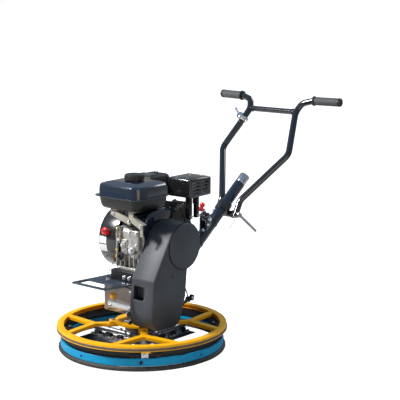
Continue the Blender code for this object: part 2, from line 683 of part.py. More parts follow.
def starter_cover():
    """The domed recoil starter cover, with its vent slots."""
    profile = [(0, 0.0150), (0.030, 0.0150), (0.060, 0.0120), (0.074, 0.0060), (0.078, 0.0003), (0.074, 0.0003),
               (0.070, 0.0042), (0.058, 0.0096), (0.030, 0.0124), (0, 0.0124)]
    cover = turned("starter_cover", profile, PLASTIC, origin=(BLOWER_LEFT, CRANK_Y, CRANK_Z), axis=(-1, 0, 0),
                   steps=22)
    slots = []
    for index in range(6):
        slot = box("slot", (-0.02, 0.034, -0.005), (0.02, 0.056, 0.005))
        slot.matrix_world = Matrix.Translation((BLOWER_LEFT - 0.01, CRANK_Y, CRANK_Z)) @ Matrix.Rotation(
            index * math.tau / 6, 4, "X") @ slot.matrix_world
        slots.append(slot)
    return cut(cover, *slots)


def starter_grip():
    """The T-handle of the pull cord, at the upper rear edge of the starter."""
    centre = Vector((-0.1585, CRANK_Y + 0.052, CRANK_Z + 0.070))
    pull = Vector((0, 0.6, 0.8))
    across = Vector((0, -0.8, 0.6))
    grip = rod("starter_grip", centre + pull * 0.008 - across * 0.017, centre + pull * 0.008 + across * 0.017,
               0.006, PLASTIC, sides=12)
    stem = rod("stem", centre - pull * 0.002, centre + pull * 0.008, 0.004, PLASTIC, sides=10)
    return join(grip, stem)


def flywheel():
    profile = [(FLYWHEEL_R - 0.01, 0.026), (FLYWHEEL_R, 0.020), (FLYWHEEL_R, 0.0), (0.0104, 0.0),
               (0.0104, 0.016), (0.045, 0.016), (0.050, 0.026)]
    return turned("flywheel", profile, CAST, origin=(-0.118, CRANK_Y, CRANK_Z), axis=(1, 0, 0), steps=24,
                  closed=True)


def stop_switch():
    """The engine's turning stop switch, on the front of the fan cover."""
    outward = Vector((0, -math.cos(SWITCH_ANGLE), math.sin(SWITCH_ANGLE)))
    centre = Vector((-0.113, CRANK_Y, CRANK_Z)) + outward * BLOWER_R
    knob = turned("stop_switch", [(0, 0.018), (0.0110, 0.018), (0.0132, 0.015), (0.0145, 0.005), (0.0145, 0.0005),
                                  (0, 0.0005)], RED, origin=centre, axis=outward, steps=16)
    bar = box("bar", (-0.012, -0.003, 0.014), (0.012, 0.003, 0.022), RED)
    bar.matrix_world = Matrix.Translation(centre) @ rotation_to(outward) @ bar.matrix_world
    return join(knob, bar)


def fuel_tank():
    """The hollow tank: a rounded upper and lower pan meeting in a seam flange, with an open filler neck."""
    upper = box("fuel_tank", (-0.117, -0.112, 0.5585), (0.083, 0.070, 0.612), NAVY, bevel=0.022, segments=3)
    lower = box("pan", (-0.114, -0.109, 0.5135), (0.080, 0.067, 0.5620), NAVY, bevel=0.018, segments=2)
    middle = box("middle", (-0.113, -0.108, 0.530), (0.079, 0.066, 0.585), NAVY, bevel=0.008, segments=1)
    seam = plate("seam", rounded([(-0.131, -0.118, 0.025, 3), (0.088, -0.118, 0.025, 3), (0.088, 0.075, 0.025, 3),
                                  (-0.131, 0.075, 0.025, 3)]), 0.003, lying(0.560))
    neck = rod("neck", (-0.012, -0.020, 0.600), (-0.012, -0.020, 0.619), 0.024, NAVY, sides=20)
    hollow = box("hollow", (-0.110, -0.105, 0.517), (0.076, 0.063, 0.6085), bevel=0.018)
    filler = rod("filler", (-0.012, -0.020, 0.580), (-0.012, -0.020, 0.640), 0.021, sides=16)
    return cut(join(upper, lower, middle, seam, neck), hollow, filler)


def fuel_cap():
    """A ribbed cap that fits over the filler neck."""
    profile = [(0, 0.6350), (0.031, 0.6350), (0.035, 0.6320), (0.036, 0.6145), (0.0255, 0.6145),
               (0.0255, 0.6195), (0, 0.6195)]
    return turned("fuel_cap", profile, PLASTIC, origin=(-0.012, -0.020, 0), steps=24)


def muffler():
    """The hollow silencer on its two posts, above the cylinder head, with its outlet hole at the rear."""
    body = box("muffler", (-0.012, 0.171, 0.5345), (0.082, 0.277, 0.590), STEEL, bevel=0.010, segments=2)
    posts = [rod("post", (0.048, y, 0.4990), (0.048, y, 0.540), 0.008, STEEL, sides=12) for y in (0.198, 0.238)]
    hollow = box("hollow", (-0.010, 0.173, 0.5425), (0.080, 0.275, 0.588), bevel=0.009)
    outlet = rod("outlet", (0.060, 0.260, 0.570), (0.060, 0.2785, 0.570), 0.008, sides=12)
    return cut(join(body, *posts), hollow, outlet)


def muffler_shield():
    """The heat shield: a box open below, with two columns of louvres in its +X face."""
    shield = box("muffler_shield", (-0.020, 0.163, 0.530), (0.090, 0.284, 0.600), BLACK, bevel=0.006, segments=2)
    hollow = box("hollow", (-0.0175, 0.1655, 0.52), (0.0875, 0.2815, 0.5975), bevel=0.004)
    slots = []
    for column in (0, 1):
        for row in range(4):
            y, z = 0.178 + 0.050 * column, 0.5435 + 0.0125 * row
            slots.append(box("slot", (0.08, y, z), (0.10, y + 0.038, z + 0.005)))
    return cut(shield, hollow, *slots)


def air_cleaner():
    """The air cleaner's cover and base, with a central wing nut."""
    cover = box("air_cleaner", (-0.122, 0.084, 0.532), (-0.024, 0.198, 0.612), PLASTIC, bevel=0.014, segments=2)
    nut = rod("nut", (-0.062, 0.150, 0.605), (-0.062, 0.150, 0.6185), 0.008, PLASTIC, sides=12)
    wings = box("wings", (-0.077, 0.1475, 0.6125), (-0.047, 0.1525, 0.6225), PLASTIC)
    return join(cover, nut, wings)


def carburettor():
    """The carburettor between the air cleaner and the cylinder head, with its float bowl."""
    body = box("carburettor", (-0.100, 0.150, 0.498), (-0.064, 0.196, 0.5315), CAST, bevel=0.003)
    flange = box("elbow", (-0.072, 0.158, 0.502), (-0.0578, 0.190, 0.528), CAST)
    bowl = rod("bowl", (-0.082, 0.173, 0.472), (-0.082, 0.173, 0.500), 0.016, CAST, sides=16)
    return join(body, flange, bowl)


# --- belt drive -------------------------------------------------------------------------------------

def grooved_pulley(name, radius, bore, place, drum=None):
    """A V-belt pulley on an X axis, with an optional drum on its inner side."""
    floor, half = radius - BELT_THICK / 2 - 0.0006, 0.0062
    profile = [(radius + 0.005, half + 0.004), (radius + 0.005, half + 0.0015), (floor, half - 0.0005),
               (floor, -half + 0.0005), (radius + 0.005, -half - 0.0015), (radius + 0.005, -half - 0.004)]
    if drum:
        drum_r, length = drum
        profile += [(drum_r, -half - 0.004), (drum_r, -half - 0.004 - length), (bore, -half - 0.004 - length)]
    else:
        profile += [(bore, -half - 0.004)]
    profile += [(bore, half + 0.004)]
    return turned(name, profile, STEEL, origin=place, axis=(1, 0, 0), steps=24, closed=True)


def clutch_pulley():
    return grooved_pulley("clutch_pulley", CLUTCH_PULLEY_R, 0.0104, (BELT_X, CRANK_Y, CRANK_Z), (0.052, 0.024))


def driven_pulley():
    return grooved_pulley("driven_pulley", DRIVEN_PULLEY_R, 0.0084, (BELT_X, WORM_Y, WORM_Z))


def belt_line(offset):
    """The loop round both pulleys, at a distance outside their pitch circles."""
    small, large = Vector((CRANK_Y, CRANK_Z)), Vector((WORM_Y, WORM_Z))
    between = large - small
    heading = math.degrees(math.atan2(between.y, between.x))
    wrap = math.degrees(math.acos((CLUTCH_PULLEY_R - DRIVEN_PULLEY_R) / between.length))
    upper = arc(small, CLUTCH_PULLEY_R + offset, heading + wrap, heading + 360 - wrap, 14)
    return upper + arc(large, DRIVEN_PULLEY_R + offset, heading - wrap, heading + wrap, 14)


def v_belt():
    belt = plate("v_belt", belt_line(BELT_THICK / 2), 0.0105, facing_x(BELT_X), RUBBER)
    return cut(belt, plate("inside", belt_line(-BELT_THICK / 2), 0.03, facing_x(BELT_X)))


def guard_outline():
    """The belt guard's face: a disc about the crank, a straight flank and a rounded foot, anticlockwise."""
    foot = rounded([(0.0675, 0.302, 0, 1), (0.0575, 0.205, 0.030, 2), (0.022, 0.104, 0.040, 4),
                    (-0.129, 0.104, 0.055, 5), (-0.1105, 0.285, 0.020, 2), (-0.0224, 0.4306, 0, 1)])
    disc = arc((CRANK_Y, CRANK_Z), GUARD_DISC_R, 145, -60, 20)
    return (disc + foot[:-1])[::-1]


def belt_guard():
    """The pressed cover over the belt: an open-backed pan with a raised disc and a side window."""
    depth, middle = GUARD_RIGHT - GUARD_LEFT, (GUARD_LEFT + GUARD_RIGHT) / 2
    outer = guard_outline()
    guard = plate("belt_guard", outer, depth, facing_x(middle), GREY)
    shell = bmesh.new()
    shell.from_mesh(guard.data)
    rim = [edge for edge in shell.edges if all(abs(vert.co.z - depth / 2) < 1e-5 for vert in edge.verts)
           and edge.calc_face_angle(0) > 1.0]
    bmesh.ops.bevel(shell, geom=rim, offset=0.007, segments=2, affect="EDGES", profile=0.5)
    shell.to_mesh(guard.data)
    shell.free()
    disc = turned("disc", [(0, GUARD_BOSS_RISE), (GUARD_BOSS_R - 0.004, GUARD_BOSS_RISE),
                           (GUARD_BOSS_R, GUARD_BOSS_RISE - 0.003), (GUARD_BOSS_R - 0.006, -0.010), (0, -0.010)], GREY,
                  origin=(GUARD_RIGHT, CRANK_Y, CRANK_Z), axis=(1, 0, 0), steps=32)
    guard = join(guard, disc)
    hollow = plate("hollow", inset(outer, SHEET + 0.0005), depth, facing_x(middle - 0.0045))
    boss_end = (GUARD_RIGHT + GUARD_BOSS_RISE - SHEET, CRANK_Y, CRANK_Z)
    boss_hollow = rod("boss_hollow", (0.12, CRANK_Y, CRANK_Z), boss_end, GUARD_BOSS_R - 0.008, sides=32)
    window = box("window", (0.068, -0.2, 0.214), (0.118, -0.09, 0.262), bevel=0.003)
    guard = cut(guard, hollow, boss_hollow, window)
    return smooth(guard, 30)


def belt_guard_back():
    """The back plate that the guard closes on, cut for the crankshaft and the worm shaft."""
    thick = GUARD_LEFT - GAP - GUARD_BACK_LEFT
    back = plate("belt_guard_back", inset(guard_outline(), 0.001), thick,
                 facing_x(GUARD_BACK_LEFT + thick / 2), GREY)
    crank_hole = rod("hole", (0.04, CRANK_Y, CRANK_Z), (0.07, CRANK_Y, CRANK_Z), 0.030, sides=24)
    worm_hole = rod("hole", (0.04, WORM_Y, WORM_Z), (0.07, WORM_Y, WORM_Z), 0.014)
    return cut(back, crank_hole, worm_hole)


# --- handle -----------------------------------------------------------------------------------------

def handle_bracket():
    """The fabricated socket on the gearbox's rear wall that the main tube stands in."""
    rear = GEARBOX_MAX.y + GAP
    bracket = box("handle_bracket", (-0.038, rear, 0.150), (0.038, rear + 0.006, 0.240), BLACK)
    outline = rounded([(rear + 0.002, 0.152, 0, 1), (0.112, 0.152, 0.01, 2), (0.222, 0.245, 0.012, 2),
                       (0.192, 0.285, 0.012, 2), (0.140, 0.2475, 0.02, 2), (rear + 0.002, 0.238, 0, 1)])
    cheeks = [plate("cheek", outline, 0.006, facing_x(x), BLACK) for x in (-0.0247, 0.0247)]
    return join(bracket, *cheeks)


def pipe(name, start, end, material):
    """A length of the main tube, open at both ends."""
    length = (end - start).length
    profile = [(TUBE_R, length), (TUBE_R, 0), (TUBE_BORE_R, 0), (TUBE_BORE_R, length)]
    return turned(name, profile, material, origin=start, axis=ALONG, steps=24, closed=True)


def hinge_cheek(name, x, thick, reach, radius):
    """A lug from the tube's top side up round the fold pivot; reach is its foot's extent up the tube."""
    if reach > 0:
        foot = [(0.005, 0.0190), (reach, 0.0190)]
        round_top = arc((0, HINGE_RISE), radius, -35, 255, 12)
    else:
        foot = [(reach, 0.0145), (-0.005, 0.0145)]
        round_top = arc((0, HINGE_RISE), radius, -75, 160, 12)
    return plate(name, round_top + foot, thick, along_tube(x), BLACK)


def handle_base_tube():
    """The lower half of the main tube with the fold hinge's outer cheeks and the lock's housing."""
    base = pipe("handle_base_tube", on_tube(-BASE_TUBE_LENGTH), on_tube(-GAP), NAVY)
    cheeks = [hinge_cheek("cheek", x, 0.0055, -0.042, 0.017) for x in (-0.01525, 0.01525)]
    bridge = plate("bridge", [(-0.006, 0.0555), (0.012, 0.0545), (0.013, 0.0600), (-0.005, 0.0610)], 0.036,
                   along_tube(), BLACK)
    housing = rod("housing", fold_lock_point(0.0185), fold_lock_point(0.034), 0.008, BLACK)
    base = join(base, *cheeks, bridge, housing)
    plunger = rod("bore", fold_lock_point(0.010), fold_lock_point(0.040), 0.0043)
    pin = rod("bore", on_tube(0, HINGE_RISE, -0.03), on_tube(0, HINGE_RISE, 0.03), 0.0043)
    return cut(base, plunger, pin)


def fold_lock_point(distance):
    """A point on the lock plunger's line, measured from the fold pivot."""
    return on_tube(0.207 * distance, HINGE_RISE + 0.978 * distance)


def fold_lock_knob():
    stem = rod("fold_lock_knob", fold_lock_point(0.0175), fold_lock_point(0.058), 0.0038, RED, sides=12)
    knobs = [ball("knob", fold_lock_point(0.058) + ALONG * 0.004, 0.0105, RED),
             ball("knob", fold_lock_point(0.052) - ALONG * 0.011, 0.0095, RED)]
    return join(stem, *knobs)


def handle_tube():
    """The upper half of the main tube, with the hinge's centre lug."""
    upper = pipe("handle_tube", on_tube(GAP), on_tube(UPPER_TUBE_LENGTH), NAVY)
    lug = hinge_cheek("lug", 0.0, 0.0230, 0.044, 0.0145)
    upper = join(upper, lug)
    return cut(upper, rod("bore", on_tube(0, HINGE_RISE, -0.03), on_tube(0, HINGE_RISE, 0.03), 0.0043))


def pitch_knob():
    """The turning sleeve at the top of the main tube that winds the pitch cable."""
    start = UPPER_TUBE_LENGTH + GAP
    profile = [(0, KNOB_LENGTH), (0.017, KNOB_LENGTH), (0.0205, KNOB_LENGTH - 0.004), (0.0205, 0.004),
               (0.0212, 0.0), (0, 0.0)]
    return turned("pitch_knob", profile, CHROME, origin=on_tube(start), axis=ALONG, steps=24)


def clamp_pivot(x=0.0):
    return on_tube(CLAMP_ALONG, -CLAMP_DROP, x)


def handle_clamp():
    """The split ring on the main tube and the cross barrel under it that carries the handlebar."""
    ring = turned("handle_clamp", [(0.0275, 0.040), (0.0275, 0), (TUBE_R + 0.0006, 0), (TUBE_R + 0.0006, 0.040)],
                  BLACK, origin=on_tube(CLAMP_ALONG - 0.020), axis=ALONG, steps=24, closed=True)
    barrel = rod("barrel", clamp_pivot(-0.0288), clamp_pivot(0.0288), 0.013, BLACK, sides=16)
    ring = join(ring, barrel)
    return cut(ring, rod("bore", clamp_pivot(-0.04), clamp_pivot(0.04), 0.0056))


def bar_arm(side):
    """One side of the handlebar, bent from a single tube."""
    start = Vector((BAR_PATH[0][0], BAR_PATH[0][1] - 0.005, BAR_PATH[0][2] - 0.0094))
    bends = [0, 0.05, 0.05, 0.06, 0.028, 0.028, 0]
    spots = [start, *BAR_PATH[1:]]
    corners = [(spot[0] * side, spot[1], spot[2], bend, 3) for spot, bend in zip(spots, bends)]
    return tube("handlebar", rounded(corners, closed=False), BAR_R, BLACK)


def throttle_centre():
    low, high = Vector(BAR_PATH[2]), Vector(BAR_PATH[3])
    spot = low.lerp(high, THROTTLE_SHARE)
    return Vector((-spot.x, spot.y, spot.z))


def throttle_axes():
    """The left arm's direction at the throttle, and the lever's pivot axis square to it."""
    direction = (Vector(BAR_PATH[3]) - Vector(BAR_PATH[2])).normalized()
    direction.x = -direction.x
    return direction, -direction.cross(Vector((1, 0, 0))).normalized()


def handlebar():
    """Both bent arms, the crossbar, the clamp discs and the throttle's collar, welded as one."""
    arms = [bar_arm(1), bar_arm(-1)]
    cross = tube("crossbar", [(-CROSSBAR[0], *CROSSBAR[1:]), CROSSBAR], 0.0110, BLACK)
    discs = [rod("disc", clamp_pivot(x * 0.0294), clamp_pivot(x * 0.0350), 0.016, BLACK) for x in (-1, 1)]
    direction, pivot_axis = throttle_axes()
    spot = throttle_centre()
    collar = rod("collar", spot - direction * 0.011, spot + direction * 0.011, 0.0165, BLACK)
    perch = rod("perch", spot, spot + pivot_axis * 0.0215, 0.009, BLACK, sides=12)
    bar = join(as_mesh(arms[0]), arms[1], cross, *discs, collar, perch)
    return smooth(cut(bar, rod("bore", clamp_pivot(-0.07), clamp_pivot(0.07), 0.0056)), 40)


def grip(name, side):
    """A ribbed rubber sleeve, closed at its outer end, with a flange at its inner end."""
    start = Vector((GRIP_START.x * side, GRIP_START.y, GRIP_START.z))
    end = Vector((GRIP_END.x * side, GRIP_END.y, GRIP_END.z))
    length = (end - start).length
    bore = BAR_R + 0.0008
    profile = [(0, length), (0.0145, length), (GRIP_R, length - 0.003), (GRIP_R - 0.0005, 0.008), (0.0200, 0.007),
               (0.0200, 0.002), (0.0185, 0.0), (bore, 0.0), (bore, length - 0.003), (0, length - 0.003)]
    return turned(name, profile, RUBBER, origin=start, axis=end - start, steps=20)


def clamp_lever():
    """The clamp bolt with its T-handle."""
    bolt = rod("clamp_lever", clamp_pivot(-0.0640), clamp_pivot(0.0660), 0.0050, CHROME)
    head = rod("head", clamp_pivot(-0.0660), clamp_pivot(-0.0580), 0.0085, CHROME, sides=6)
    hub = rod("hub", clamp_pivot(0.0580), clamp_pivot(0.0690), 0.0095, CHROME)
    reach = Vector((0, 0.103, -0.079)).normalized()
    handle = rod("handle", clamp_pivot(0.0635) - reach * 0.014, clamp_pivot(0.0635) + reach * 0.130, 0.0055, CHROME,
                 sides=12)
    return join(bolt, head, hub, handle)


def throttle_lever():
    """The hand throttle: a round pivot cap and a thumb lever."""
    direction, pivot_axis = throttle_axes()
    seat = throttle_centre() + pivot_axis * 0.0220
    cap = turned("throttle_lever", [(0, 0.011), (0.010, 0.011), (0.0145, 0.008), (0.0150, 0.0), (0, 0.0)], CHROME,
                 origin=seat, axis=pivot_axis, steps=16)
    side = direction.cross(pivot_axis)
    reach = (-side * 0.9 + direction * 0.45).normalized()
    lever = rod("lever", seat + pivot_axis * 0.005, seat + pivot_axis * 0.007 + reach * 0.040, 0.0035, CHROME, sides=8)
    tip = ball("tip", seat + pivot_axis * 0.007 + reach * 0.040, 0.0062, CHROME)
    return join(cap, lever, tip)


def throttle_cable_upper():
    """The throttle cable from the lever down the rear of the left arm to the clamp."""
    direction, pivot_axis = throttle_axes()
    behind = -pivot_axis * 0.0165
    route = [throttle_centre() - direction * 0.016 + behind, Vector((-0.162, 0.664, 0.641)) + behind * 1.15,
             Vector((-0.103, 0.589, 0.5555)) + behind, Vector((-0.0540, 0.524, 0.478)) + behind * 1.05,
             Vector((-0.0445, 0.505, 0.4400)) + behind * 1.1, Vector((-0.0420, 0.5010, 0.4080))]
    return tube("throttle_cable_upper", smooth_path(route, 0.018), 0.0025, PLASTIC, sides=8)


def throttle_cable_lower():
    """The throttle cable from below the clamp, along the main tube's underside, to the carburettor."""
    under = -(TUBE_R + 0.0032)
    route = [Vector((-0.0415, 0.4975, 0.3990)), Vector((-0.032, 0.478, 0.3905)), on_tube(0.062, under - 0.008, -0.018),
             on_tube(0.030, under, -0.006),
             on_tube(-0.060, under, -0.004), on_tube(-0.130, under, -0.006), on_tube(-0.165, under + 0.004, -0.032),
             Vector((-0.062, 0.247, 0.330)), Vector((-0.092, 0.236, 0.400)), Vector((-0.100, 0.222, 0.470)),
             Vector((-0.090, 0.199, 0.512))]
    return tube("throttle_cable_lower", smooth_path(route, 0.018), 0.0025, PLASTIC, sides=8)


def pitch_cable():
    """The pitch cable from the main tube's lower end down to the yoke's eye."""
    route = [YOKE_EYE + Vector((0, -0.002, 0.0118)), Vector((0, 0.2475, 0.155)), Vector((0, 0.2320, 0.185)),
             Vector((0, 0.2230, 0.2200))]
    return tube("pitch_cable", smooth_path(route, 0.012), 0.0025, PLASTIC, sides=8)


# --- build ------------------------------------------------------------------------------------------

def build_rotor():
    shaft = [output_shaft(), worm_wheel(), spider_hub()]
    rotor = hang_on("rotor_axis", (0, 0, 0), *shaft)
    for index in range(BLADE_COUNT):
        pair = hang_on(f"blade_pitch_{index + 1}_axis", (0, 0, PITCH_AXIS_Z), trowel_arm(index), trowel_blade(index))
        pair.parent = rotor
        pair.matrix_parent_inverse = rotor.matrix_world.inverted()
    hang_on("thrust_axis", (0, 0, 0), thrust_plate(), thrust_collar())
    hang_on("yoke_axis", YOKE_PIVOT, pitch_yoke())


def build_rings():
    guard_ring()
    hang_on("edge_axis", (0, 0, 0), edge_ring(), edge_bumper())
    for index in range(4):
        ring_roller(index)


def build_drive():
    gearbox_housing()
    gearbox_cover()
    hang_on("worm_axis", (0, WORM_Y, WORM_Z), worm_shaft(), driven_pulley())
    clutch_pulley()
    v_belt()
    belt_guard()
    belt_guard_back()


def build_engine():
    deck_plate()
    engine_mount()
    crankcase()
    cylinder()
    cylinder_head()
    hang_on("crank_axis", (0, CRANK_Y, CRANK_Z), crankshaft(), flywheel())
    blower_housing()
    starter_cover()
    starter_grip()
    stop_switch()
    fuel_tank()
    fuel_cap()
    muffler()
    muffler_shield()
    air_cleaner()
    carburettor()


def build_handle():
    handle_bracket()
    handle_base_tube()
    fold_lock_knob()
    hang_on("fold_axis", on_tube(0, HINGE_RISE), handle_tube(), handle_clamp())
    pitch_knob()
    hang_on("tilt_axis", clamp_pivot(), handlebar(), grip("grip_left", -1), grip("grip_right", 1))
    clamp_lever()
    throttle_lever()
    throttle_cable_upper()
    throttle_cable_lower()
    pitch_cable()


def move_to_frame():
    """Put the origin under the middle of the machine's outline. Children follow their parents."""
    for obj in MODEL.objects:
        if obj.parent is None:
            obj.location.y -= OUTLINE_MIDDLE_Y
    bpy.context.view_layer.update()


build_rotor()
build_rings()
build_drive()
build_engine()
build_handle()
move_to_frame()
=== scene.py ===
"""The looks of the power trowel: materials, fine surfaces and small fittings around its fixed CAD frame.

The frame is in metres, +Z up, +Y towards the operator, +X towards the belt guard. Pieces are built in millimetres
from the foot of the blades' vertical axis, AXIS, and publish() scales each finished piece and moves it there.

piece() builds a mesh in steps. A step is a shape function and its arguments, such as (rod, start, end, radius).
A piece named NODE_fine stands in for that CAD node and rides on its body, and other pieces ride on the root.
"""

import json
import math

import bmesh
import bpy
from mathutils import Matrix, Vector

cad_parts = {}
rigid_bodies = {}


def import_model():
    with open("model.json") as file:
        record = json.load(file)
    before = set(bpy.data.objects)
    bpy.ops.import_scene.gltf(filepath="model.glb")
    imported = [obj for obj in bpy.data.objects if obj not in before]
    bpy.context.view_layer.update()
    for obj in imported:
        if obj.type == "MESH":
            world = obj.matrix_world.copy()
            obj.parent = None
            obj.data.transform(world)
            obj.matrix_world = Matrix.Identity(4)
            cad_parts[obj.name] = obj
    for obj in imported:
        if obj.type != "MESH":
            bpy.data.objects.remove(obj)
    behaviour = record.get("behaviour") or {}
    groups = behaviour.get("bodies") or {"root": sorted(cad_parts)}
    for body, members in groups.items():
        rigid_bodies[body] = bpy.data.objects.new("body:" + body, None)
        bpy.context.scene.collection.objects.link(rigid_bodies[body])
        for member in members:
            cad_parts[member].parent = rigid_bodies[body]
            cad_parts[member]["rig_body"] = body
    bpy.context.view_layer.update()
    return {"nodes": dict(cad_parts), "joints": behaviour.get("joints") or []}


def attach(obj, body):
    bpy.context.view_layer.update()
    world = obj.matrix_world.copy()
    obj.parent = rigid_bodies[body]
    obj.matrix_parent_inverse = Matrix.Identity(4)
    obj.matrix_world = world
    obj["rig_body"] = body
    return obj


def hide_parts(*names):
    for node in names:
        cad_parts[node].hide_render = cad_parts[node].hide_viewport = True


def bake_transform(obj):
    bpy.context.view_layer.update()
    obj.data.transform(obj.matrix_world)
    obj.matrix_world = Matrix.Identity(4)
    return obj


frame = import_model()
NODES = frame["nodes"]
AXIS = Vector(next(joint["pos_m"] for joint in frame["joints"] if joint["name"] == "rotor_spin"))
AXIS.z = 0.0

ORIGIN, UP, DOWN = Vector((0, 0, 0)), Vector((0, 0, 1)), Vector((0, 0, -1))
LEFT, RIGHT, FRONT, BACK = Vector((-1, 0, 0)), Vector((1, 0, 0)), Vector((0, -1, 0)), Vector((0, 1, 0))
SIDES, FOUR = (1, -1), (1, 2, 3, 4)
MM = 0.001
WELD = 0.00001
SHARP_BEND = math.radians(32)

# Rings
RING_R = 305
RING_STEPS = 160
EDGE_R = 293
BUMPER_R, BUMPER_TUBE_R, BUMPER_Z = 292.5, 8.5, 12
ROLLER_AXIS_R = 258.5
HUB_TOP = 103
DIAGONALS = [math.radians(45 + 90 * index) for index in range(4)]

# Engine and drive
CRANK = Vector((0, 50, 387))
YOKE_EYE = Vector((0, 257, 124))
WORM = Vector((0, -42, 187))
GEARBOX_FRONT, GEARBOX_LEFT = -100, -93
DECK_TOP = 260
BLOWER_R, BLOWER_LEFT = 113, -150
GUARD_FACE = 160
CAP_CENTRE = Vector((-12, -20, 0))
TANK = ((-117, -112), (83, 70))
TANK_SEAM = ((-131, -118), (88, 75))
TANK_BEND = 35
CLEANER = ((-122, 84), (-24, 198))
WING_NUT = Vector((-62, 150, 0))

# Handle
TUBE_ANGLE = math.atan(0.758)
TUBE_SEAM = Vector((0, 385.2, 385.7))
TUBE_R = 21.2
UPPER_TUBE_LENGTH = 225.5
HINGE_RISE = 40
CLAMP_ALONG, CLAMP_DROP = 100.5, 35.1
ALONG = Vector((0, math.cos(TUBE_ANGLE), math.sin(TUBE_ANGLE)))
ACROSS = Vector((0, -math.sin(TUBE_ANGLE), math.cos(TUBE_ANGLE)))
BAR_R, CROSSBAR_R, CABLE_R = 12.5, 11, 2.5
BAR_PATH = [Vector(spot) for spot in (
    (44.5, 481.5, 409.1), (44.5, 514, 470), (162, 664, 641), (111.5, 778.5, 792.7),
    (128, 800, 826), (174, 809, 838), (289, 824.7, 838))]
BAR_BENDS = [0, 50, 50, 60, 28, 28, 0]
GRIP_START, GRIP_END = Vector((174, 809, 838)), Vector((292.5, 825.2, 838))
THROTTLE_SHARE = 0.73


# --- materials --------------------------------------------------------------------------------------

COAT_ROUGHNESS = 0.06
GRAIN_DEPTH = 0.0006


def add_node(tree, kind, **values):
    """Add a node and set its inputs by name, with _ for a blank."""
    node = tree.nodes.new(kind)
    for socket, value in values.items():
        node.inputs[socket.replace("_", " ")].default_value = value
    return node


def link(tree, *wires):
    """Link nodes by (source, its output, target, its input)."""
    for source, output, target, socket in wires:
        tree.links.new(source.outputs[output], target.inputs[socket])


def set_ramp(node, *stops):
    """Set a colour ramp's two stops of (position, colour)."""
    for element, (position, colour) in zip(node.color_ramp.elements, stops):
        element.position, element.color = position, colour


def scaled_colour(colour, factor):
    return (*[min(1.0, channel * factor) for channel in colour], 1.0)


def finish_of(name, colour, roughness, metallic=0.0, coat=0.0, mottle=0.10, clouds=14.0, grain=0.0,
              grain_scale=700.0, spread=0.06, specular=0.5):
    """Pieces of this finish take the record's slot, unless they name another one.
    """
    made = bpy.data.materials.new(name)
    made.use_nodes = True
    tree = made.node_tree
    shader = tree.nodes["Principled BSDF"]
    for socket, value in (("Metallic", metallic), ("Coat Weight", coat), ("Coat Roughness", COAT_ROUGHNESS),
                          ("Specular IOR Level", specular)):
        shader.inputs[socket].default_value = value
    place = add_node(tree, "ShaderNodeTexCoord")
    cloud = add_node(tree, "ShaderNodeTexNoise", Scale=clouds, Detail=5.0)
    tint = add_node(tree, "ShaderNodeValToRGB")
    set_ramp(tint, (0.32, scaled_colour(colour, 1 - mottle)), (0.68, scaled_colour(colour, 1 + mottle)))
    fine = add_node(tree, "ShaderNodeTexNoise", Scale=grain_scale, Detail=3.0)
    gloss = add_node(tree, "ShaderNodeMapRange", To_Min=max(0.02, roughness - spread),
                     To_Max=min(1.0, roughness + spread))
    link(tree, (place, "Object", cloud, "Vector"), (cloud, "Fac", tint, "Fac"), (tint, "Color", shader, "Base Color"),
         (place, "Object", fine, "Vector"), (fine, "Fac", gloss, "Value"), (gloss, "Result", shader, "Roughness"))
    if grain:
        bump = add_node(tree, "ShaderNodeBump", Strength=grain, Distance=GRAIN_DEPTH)
        link(tree, (fine, "Fac", bump, "Height"), (bump, "Normal", shader, "Normal"))
    return made


YELLOW = finish_of("yellow_enamel", (0.94, 0.45, 0.002), 0.44, mottle=0.06, grain=0.08, specular=0.3)
BLUE = finish_of("blue_enamel", (0.001, 0.29, 0.54), 0.46, mottle=0.06, grain=0.08, specular=0.25)
GUARD_GREY = finish_of("guard_enamel", (0.044, 0.051, 0.061), 0.5, mottle=0.14, grain=0.1, specular=0.4)
NAVY = finish_of("navy_enamel", (0.004, 0.009, 0.022), 0.2, coat=0.9, grain=0.02)
BAR_BLACK = finish_of("bar_enamel", (0.004, 0.005, 0.009), 0.18, coat=1.0)
DECK = finish_of("deck_enamel", (0.026, 0.038, 0.058), 0.34, coat=0.3, grain=0.06)
TANK_NAVY = finish_of("tank_enamel", (0.006, 0.016, 0.034), 0.16, coat=0.9)
# Painted reflection and shade: the tank's lower half is a darker, warmer copy of the tank's paint, standing in for the
# warm floor it mirrors and the shade beneath it.
TANK_LOWER_SHADE = finish_of("tank_lower_painted_reflection", (0.008, 0.007, 0.006), 0.36, coat=0.15, grain=0.03,
                       specular=0.3)
BLACK = finish_of("black_enamel", (0.009, 0.009, 0.01), 0.26, coat=0.7, grain=0.03)
SATIN_BLACK = finish_of("satin_black_enamel", (0.008, 0.009, 0.011), 0.46, grain=0.06, specular=0.35)
PLASTIC = finish_of("moulded_black", (0.016, 0.016, 0.017), 0.46, grain=0.25, grain_scale=1400.0)
DIAL_GREY = finish_of("moulded_grey", (0.055, 0.062, 0.072), 0.4, grain=0.15, grain_scale=1400.0)
RUBBER = finish_of("black_rubber", (0.024, 0.023, 0.022), 0.68, grain=0.35, grain_scale=900.0)
GRIP = finish_of("grip_rubber", (0.07, 0.072, 0.074), 0.62, grain=0.3, grain_scale=900.0)
HOSE = finish_of("bumper_rubber", (0.034, 0.031, 0.027), 0.62, mottle=0.3, clouds=40.0, grain=0.35)
STRIP = finish_of("ring_strip", (0.13, 0.1, 0.07), 0.6, mottle=0.28, clouds=30.0, grain=0.2)
GREY_CAST = finish_of("gearbox_casting", (0.36, 0.32, 0.285), 0.58, metallic=0.25, mottle=0.14,
                      clouds=34.0, grain=0.7, grain_scale=420.0)
BRIGHT_CAST = finish_of("engine_casting", (0.43, 0.42, 0.395), 0.38, metallic=0.6, mottle=0.3,
                        clouds=60.0, grain=0.6, grain_scale=460.0)
